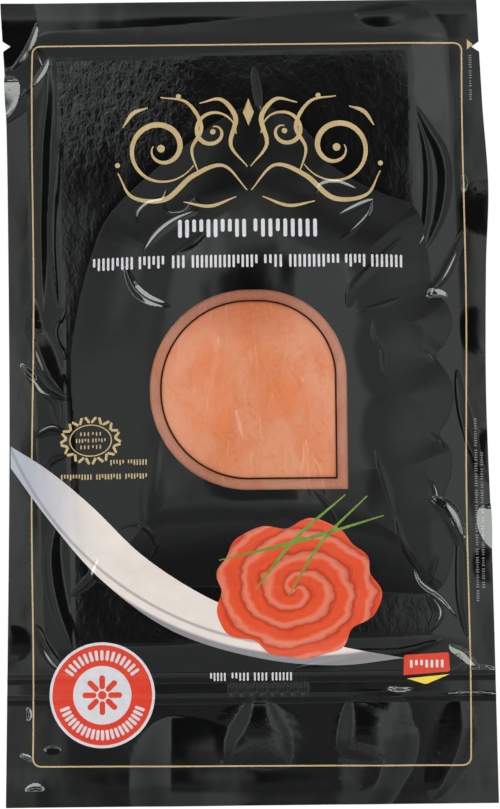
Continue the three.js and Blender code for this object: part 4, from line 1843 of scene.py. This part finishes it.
# ---------------------------------------------------------------- the pack's pieces
@dataclass
class Pouch:
    """Both webs of film and the room for the slices between them, as one closed body with the print on its front.

    The front's grid has a corner at every fine gap where the film bends sharply, at every second one where it bends
    a little, and at every fourth elsewhere.
    """

    shape: FilmShape = field(default_factory=FilmShape)
    window: Window = field(default_factory=Window)
    front_print: FrontPrint = field(default_factory=FrontPrint)
    film: float = 0.12
    fold_room: float = 0.1
    least_room: float = 0.2
    room_inset: float = 4.0
    room_steps: int = 90
    notch_depth: float = 2.4
    notch_height: float = 3.2
    notches: Point = (109.8, 108.4)
    outline_step: float = 0.8
    fine_gap: float = 0.3
    columns: int = 252
    rows: int = 410
    small_bend: float = 0.03
    sharp_bend: float = 0.16
    edge_clearance: float = 0.25
    window_clearance: float = 0.2
    box: tuple[Point, Point] = ((-80.0, 80.0), (-123.0, 123.0))
    back_gap: float = 4.0
    lid_gap: float = 3.0
    floor_gap: float = 8.0

    @property
    def floor(self) -> float:
        """The height of the board's top, which the slices lie on."""
        return self.shape.sheet + self.shape.board_rise

    def ceiling(self, x: Array, y: Array) -> Array:
        """The underside of the front web over the slices, smooth below its folds."""
        return np.maximum(self.shape.contents(x, y) - self.film - self.fold_room, self.floor + self.least_room)

    def notch(self, side: int, y: Array) -> Array:
        """How deep a side's tear notch cuts in at each y, on the left for side 0 and on the right for side 1."""
        return self.notch_depth * np.clip(1 - np.abs(y - self.notches[side]) / (self.notch_height / 2), 0, 1)

    def outline(self) -> Array:
        """Draws the pouch's outline in plan, with its two tear notches.

        Returns:
            Its points, anticlockwise.
        """
        half, step = self.shape.half_length, self.outline_step
        sides = []
        for side, way in ((1, 1), (0, -1)):
            y = np.linspace(-half, half, int(2 * half / step))
            middle, reach = self.notches[side], self.notch_height / 2
            y = np.concatenate([y[np.abs(y - middle) > reach + 0.1], [middle - reach, middle, middle + reach]])
            y = np.sort(y)[::way]
            sides.append(np.stack([self.shape.edges(y)[side] - way * self.notch(side, y), y], 1))
        ends = []
        for start, end in ((sides[1][-1], sides[0][0]), (sides[0][-1], sides[1][0])):
            t = np.linspace(0, 1, int(np.linalg.norm(end - start) / step))[1:-1, None]
            ends.append(start + (end - start) * t)
        return np.vstack([ends[0], sides[0], ends[1], sides[1]])

    def room(self, inset: float) -> Array:
        """Draws the outline of the room for the slices.

        Args:
            inset: how far it is drawn in from the mound's foot.

        Returns:
            Its points, anticlockwise.
        """
        chain = curve(MOUND_OUTLINE, self.room_steps, closed=True)[:-1][::-1]
        ahead = np.roll(chain, -1, 0) - np.roll(chain, 1, 0)
        ahead /= np.linalg.norm(ahead, axis=1, keepdims=True)
        return chain + np.stack([-ahead[:, 1], ahead[:, 0]], 1) * inset

    def bend(self, x: Array, y: Array) -> Array:
        """Measures how sharply the front bends at the crossings of a grid, or next to them.

        Args:
            x: the grid's places across, a row for each y.
            y: its places along.

        Returns:
            The greater of the bends across and along, for each crossing.
        """
        z = self.shape.front(x.ravel(), y.ravel()).reshape(x.shape)
        bend = np.zeros(z.shape)
        for axis, inner in enumerate((np.s_[1:-1, :], np.s_[:, 1:-1])):
            bend[inner] = np.maximum(bend[inner], np.abs(np.diff(z, 2, axis=axis)) / self.fine_gap**2)
        wide = bend.copy()
        for shift in ((0, 1), (0, -1), (1, 0), (-1, 0)):
            wide = np.maximum(wide, np.roll(bend, shift, (0, 1)))
        return wide

    def grid(self) -> Array:
        """Places the front's inner corners, closest where the film bends most.

        Returns:
            The places, one a row.
        """
        across, along = (np.arange(-count, count + 1) * self.fine_gap for count in (self.columns, self.rows))
        x, y = np.meshgrid(across, along)
        bend = self.bend(x, y)
        row, column = np.indices(x.shape)
        every_4 = (column % 4 == 0) & (row % 4 == 0)
        every_2 = (column % 2 == 0) & (row % 2 == 0)
        kept = every_4 | (every_2 & (bend > self.small_bend)) | (bend > self.sharp_bend)
        kept &= np.abs(y) < self.shape.half_length - self.edge_clearance
        kept &= self.window.inside(x, y) < -self.window_clearance
        left, right = self.shape.edges(y)
        for side, inward in enumerate((x - left, right - x)):
            kept &= inward > self.notch(side, y) + self.edge_clearance
        return np.stack([x[kept], y[kept]], 1)

    @staticmethod
    def inks(front: Plan, patches: Sequence[Patch]) -> Array:
        """Picks what covers each of the front's triangles.

        Args:
            front: the front's net, which has an edge along every patch.
            patches: the print, the lower patches first.

        Returns:
            The number of an ink for each triangle.
        """
        middles = front.middles()
        inks = np.full(len(front.triangles), Ink.BLACK.value)
        for patch in patches:
            within = np.zeros(len(inks), bool)
            for loop in patch.loops:
                within ^= crosses(loop, *middles)
            inks[within] = patch.ink.value
        return inks

    def build(self) -> bpy.types.Object:
        """Makes the piece.

        Returns:
            The pouch, with an ink on each face.
        """
        skin = Skin()
        outer, hole, room = self.outline(), self.window.outline(), self.room(self.room_inset)
        patches = self.front_print.patches()
        loops = [loop for patch in patches for loop in patch.loops]
        front = Plan.fill([outer, hole, *loops], self.grid()).without(hole)
        normals = facing(self.shape.front, front.places)
        top = skin.corners_at(front.places, self.shape.front(*front.places.T), normals)
        skin.add(front.triangles + top, self.inks(front, patches), eased=True)

        back = Plan.fill([outer], spread(outer, self.box, self.back_gap))
        base = skin.corners_at(back.places, self.shape.back(*back.places.T))
        skin.add(back.triangles + base, flip=True)
        skin.wall(back.loops[0] + base, front.loops[0] + top)

        # the room for the slices, which opens at the window
        over = Plan.fill([room, hole], spread(room, self.box, self.lid_gap)).without(hole)
        lid = skin.corners_at(over.places, self.ceiling(*over.places.T))
        skin.add(over.triangles + lid, flip=True)
        skin.wall(over.loops[1] + lid, front.loops[1] + top, flip=True)
        under = Plan.fill([room], spread(room, self.box, self.floor_gap))
        board = skin.corners_at(under.places, np.full(len(under.places), self.floor))
        skin.add(under.triangles + board)
        skin.wall(under.loops[0] + board, over.loops[0] + lid, flip=True)
        return skin.piece("film_pouch", {CRINKLE: self.shape.crinkle})

    def dress(self, piece: bpy.types.Object) -> None:
        """Gives the pouch its finishes.

        Args:
            piece: the pouch.
        """
        for ink in Ink:
            piece.data.materials.append(FRONT_FINISHES[ink].material())
        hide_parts("pouch")
        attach(piece, "root")


@dataclass
class Slices:
    """The stack of slices under the film."""

    pouch: Pouch
    gap: float = 0.1
    side_gap: float = 0.3
    floor_gap: float = 0.05
    box: tuple[Point, Point] = ((-60.0, 60.0), (-60.0, 92.0))
    top_step: float = 0.7
    bottom_step: float = 8.0

    def top(self, x: Array, y: Array) -> Array:
        """The height of the uppermost slice, just under the film."""
        return self.pouch.ceiling(x, y) - self.gap

    def bottom(self, x: Array, y: Array) -> Array:
        """The height of the lowest slice, just over the board."""
        return np.full(np.shape(x), self.pouch.floor + self.floor_gap)

    def build(self) -> bpy.types.Object:
        """Makes the piece.

        Returns:
            The slices.
        """
        skin = Skin()
        loop = self.pouch.room(self.pouch.room_inset + self.side_gap)
        steps = (self.top_step, self.bottom_step)
        upper, lower = (Plan.fill([loop], spread(loop, self.box, step)) for step in steps)
        skin.slab(upper, self.top, lower, self.bottom)
        return skin.piece("fish_slices")

    def dress(self, piece: bpy.types.Object) -> None:
        """Gives the slices their finish.

        Args:
            piece: the slices.
        """
        piece.data.materials.append(FishFlesh().material())
        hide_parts("salmon")
        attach(piece, "root")


@dataclass
class WindowFilm:
    """The clear part of the front web. Its net is closest along the small creases in it."""

    pouch: Pouch
    gap: float = 0.05
    thickness: float = 0.12
    box: tuple[Point, Point] = ((-32.0, 32.0), (-30.0, 34.0))
    top_step: float = 0.4
    crease_step: float = 0.12
    crease_margin: float = 0.2
    bottom_step: float = 1.0

    def bottom(self, x: Array, y: Array) -> Array:
        """The height of the film's inner face."""
        return self.pouch.shape.front(x, y) - self.thickness

    def build(self) -> bpy.types.Object:
        """Makes the piece.

        Returns:
            The clear film.
        """
        skin = Skin()
        loop = self.pouch.window.outline(self.gap)
        fine = spread(loop, self.box, self.crease_step)
        creased = np.full(len(fine), False)
        for fold in WINDOW_FOLDS:
            creased |= nearest(curve(fold.route, FOLD_STEPS), *fine.T)[0] < fold.left + self.crease_margin
        fine = fine[creased] + self.crease_step / 3
        upper = Plan.fill([loop], np.vstack([spread(loop, self.box, self.top_step), fine]))
        lower = Plan.fill([loop], spread(loop, self.box, self.bottom_step))
        skin.slab(upper, self.pouch.shape.front, lower, self.bottom)
        return skin.piece("clear_window")

    def dress(self, piece: bpy.types.Object) -> None:
        """Gives the window its finish.

        Args:
            piece: the clear film.
        """
        piece.data.materials.append(ClearFilm("clear_film", self.pouch.window).material())
        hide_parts("window_film")
        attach(piece, "root")


# ---------------------------------------------------------------- studio
@dataclass(frozen=True)
class Studio:
    """The pale floor, the soft light and the camera. The floor lies a hair under the pack."""

    floor_half: float = 4.0
    floor_drop: float = 1e-4
    floor_glow: float = 0.75
    floor_colour: float = 0.35
    floor_roughness: float = 0.9
    lens: float = 120.0
    sensor: float = 36.0
    distance: float = 825.0
    tilt: float = 3.85
    roll: float = -0.6
    target: Point = (0.85, -1.5)
    clip: Point = (0.01, 50.0)
    horizon: float = 0.03

    @staticmethod
    def share(glow: Glow, across: Wire, along: Wire) -> Wire:
        """Works out how much of a light or a card each direction gets.

        Args:
            glow: the light or the card.
            across: the direction's slope across.
            along: its slope along.

        Returns:
            The share, 0 to 1.
        """
        parts = []
        for value, middle, half in ((across, glow.x, glow.half_x), (along, glow.y, glow.half_y)):
            parts.append(abs(value - middle).ramp(half + glow.soft / 2, half - glow.soft / 2))
        return parts[0] * parts[1]

    def light(self) -> None:
        """Writes the soft lights and the dark cards round the pack. The camera itself sees them as plain white."""
        world = bpy.data.worlds.new("studio")
        world.use_nodes = True
        graph = Graph(world.node_tree)
        way = graph.node("ShaderNodeTexCoord", output="Generated")
        x, y, z = (graph.node("ShaderNodeSeparateXYZ", inputs={0: way}, output=i) for i in range(3))
        up = z.math("MAXIMUM", self.horizon)
        slopes = x / up, y / up
        rim, dome = self.share(RIM, *slopes), self.share(DOME, *slopes)
        level = TENT * (1 - (1 - rim) * RIM.strength - dome * DOME.strength)
        for glow in GLOWS:
            level = level + self.share(glow, *slopes) * glow.strength
        for card in CARDS:
            level = level * (1 - self.share(card, *slopes) * card.strength)
        seen = graph.node("ShaderNodeLightPath", output="Is Camera Ray")
        level = level * (1 - seen) + seen
        graph.show(graph.node("ShaderNodeBackground", inputs={"Strength": level}), "ShaderNodeOutputWorld")
        bpy.context.scene.world = world

    def floor(self) -> None:
        """Lays the pale floor."""
        data = bpy.data.meshes.new("floor")
        signs = ((-1, -1), (1, -1), (1, 1), (-1, 1))
        corners = [(x * self.floor_half, y * self.floor_half, -self.floor_drop) for x, y in signs]
        data.from_pydata(corners, [], [(0, 1, 2, 3)])
        floor = bpy.data.objects.new("floor", data)
        bpy.context.scene.collection.objects.link(floor)
        material, graph = paint("pale_floor")
        glow = {"Emission_Color": (1.0, 1.0, 1.0), "Emission_Strength": self.floor_glow, "Specular_IOR_Level": 0.0}
        graph.show(graph.principled((self.floor_colour,) * 3, self.floor_roughness, **glow))
        data.materials.append(material)

    def camera(self) -> None:
        """Sets the camera above the pack, looking down on it."""
        roll = Matrix.Rotation(math.radians(self.roll), 3, "Z")
        tilt = math.radians(self.tilt)
        target = Vector((*self.target, 0.0)) * MM
        back = roll @ Vector((0.0, -math.sin(tilt), math.cos(tilt)))
        right = roll @ Vector((1.0, 0.0, 0.0))
        above = back.cross(right)
        data = bpy.data.cameras.new("camera")
        data.lens, data.sensor_width = self.lens, self.sensor
        data.clip_start, data.clip_end = self.clip
        camera = bpy.data.objects.new("camera", data)
        bpy.context.scene.collection.objects.link(camera)
        turn = Matrix((right, above, back)).transposed().to_4x4()
        camera.matrix_world = Matrix.Translation(target + back * self.distance * MM) @ turn
        bpy.context.scene.camera = camera
        bpy.context.scene.view_settings.view_transform = "Standard"

    def build(self) -> None:
        """Sets the whole studio up."""
        self.light()
        self.floor()
        self.camera()


def main() -> None:
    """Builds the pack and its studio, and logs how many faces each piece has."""
    logging.basicConfig(level=logging.INFO, format="%(message)s")
    pouch = Pouch()
    for part in (pouch, Slices(pouch), WindowFilm(pouch)):
        piece = part.build()
        part.dress(piece)
        log.info("%s: %d faces", piece.name, len(piece.data.polygons))
    Studio().build()


if __name__ == "__main__":
    main()
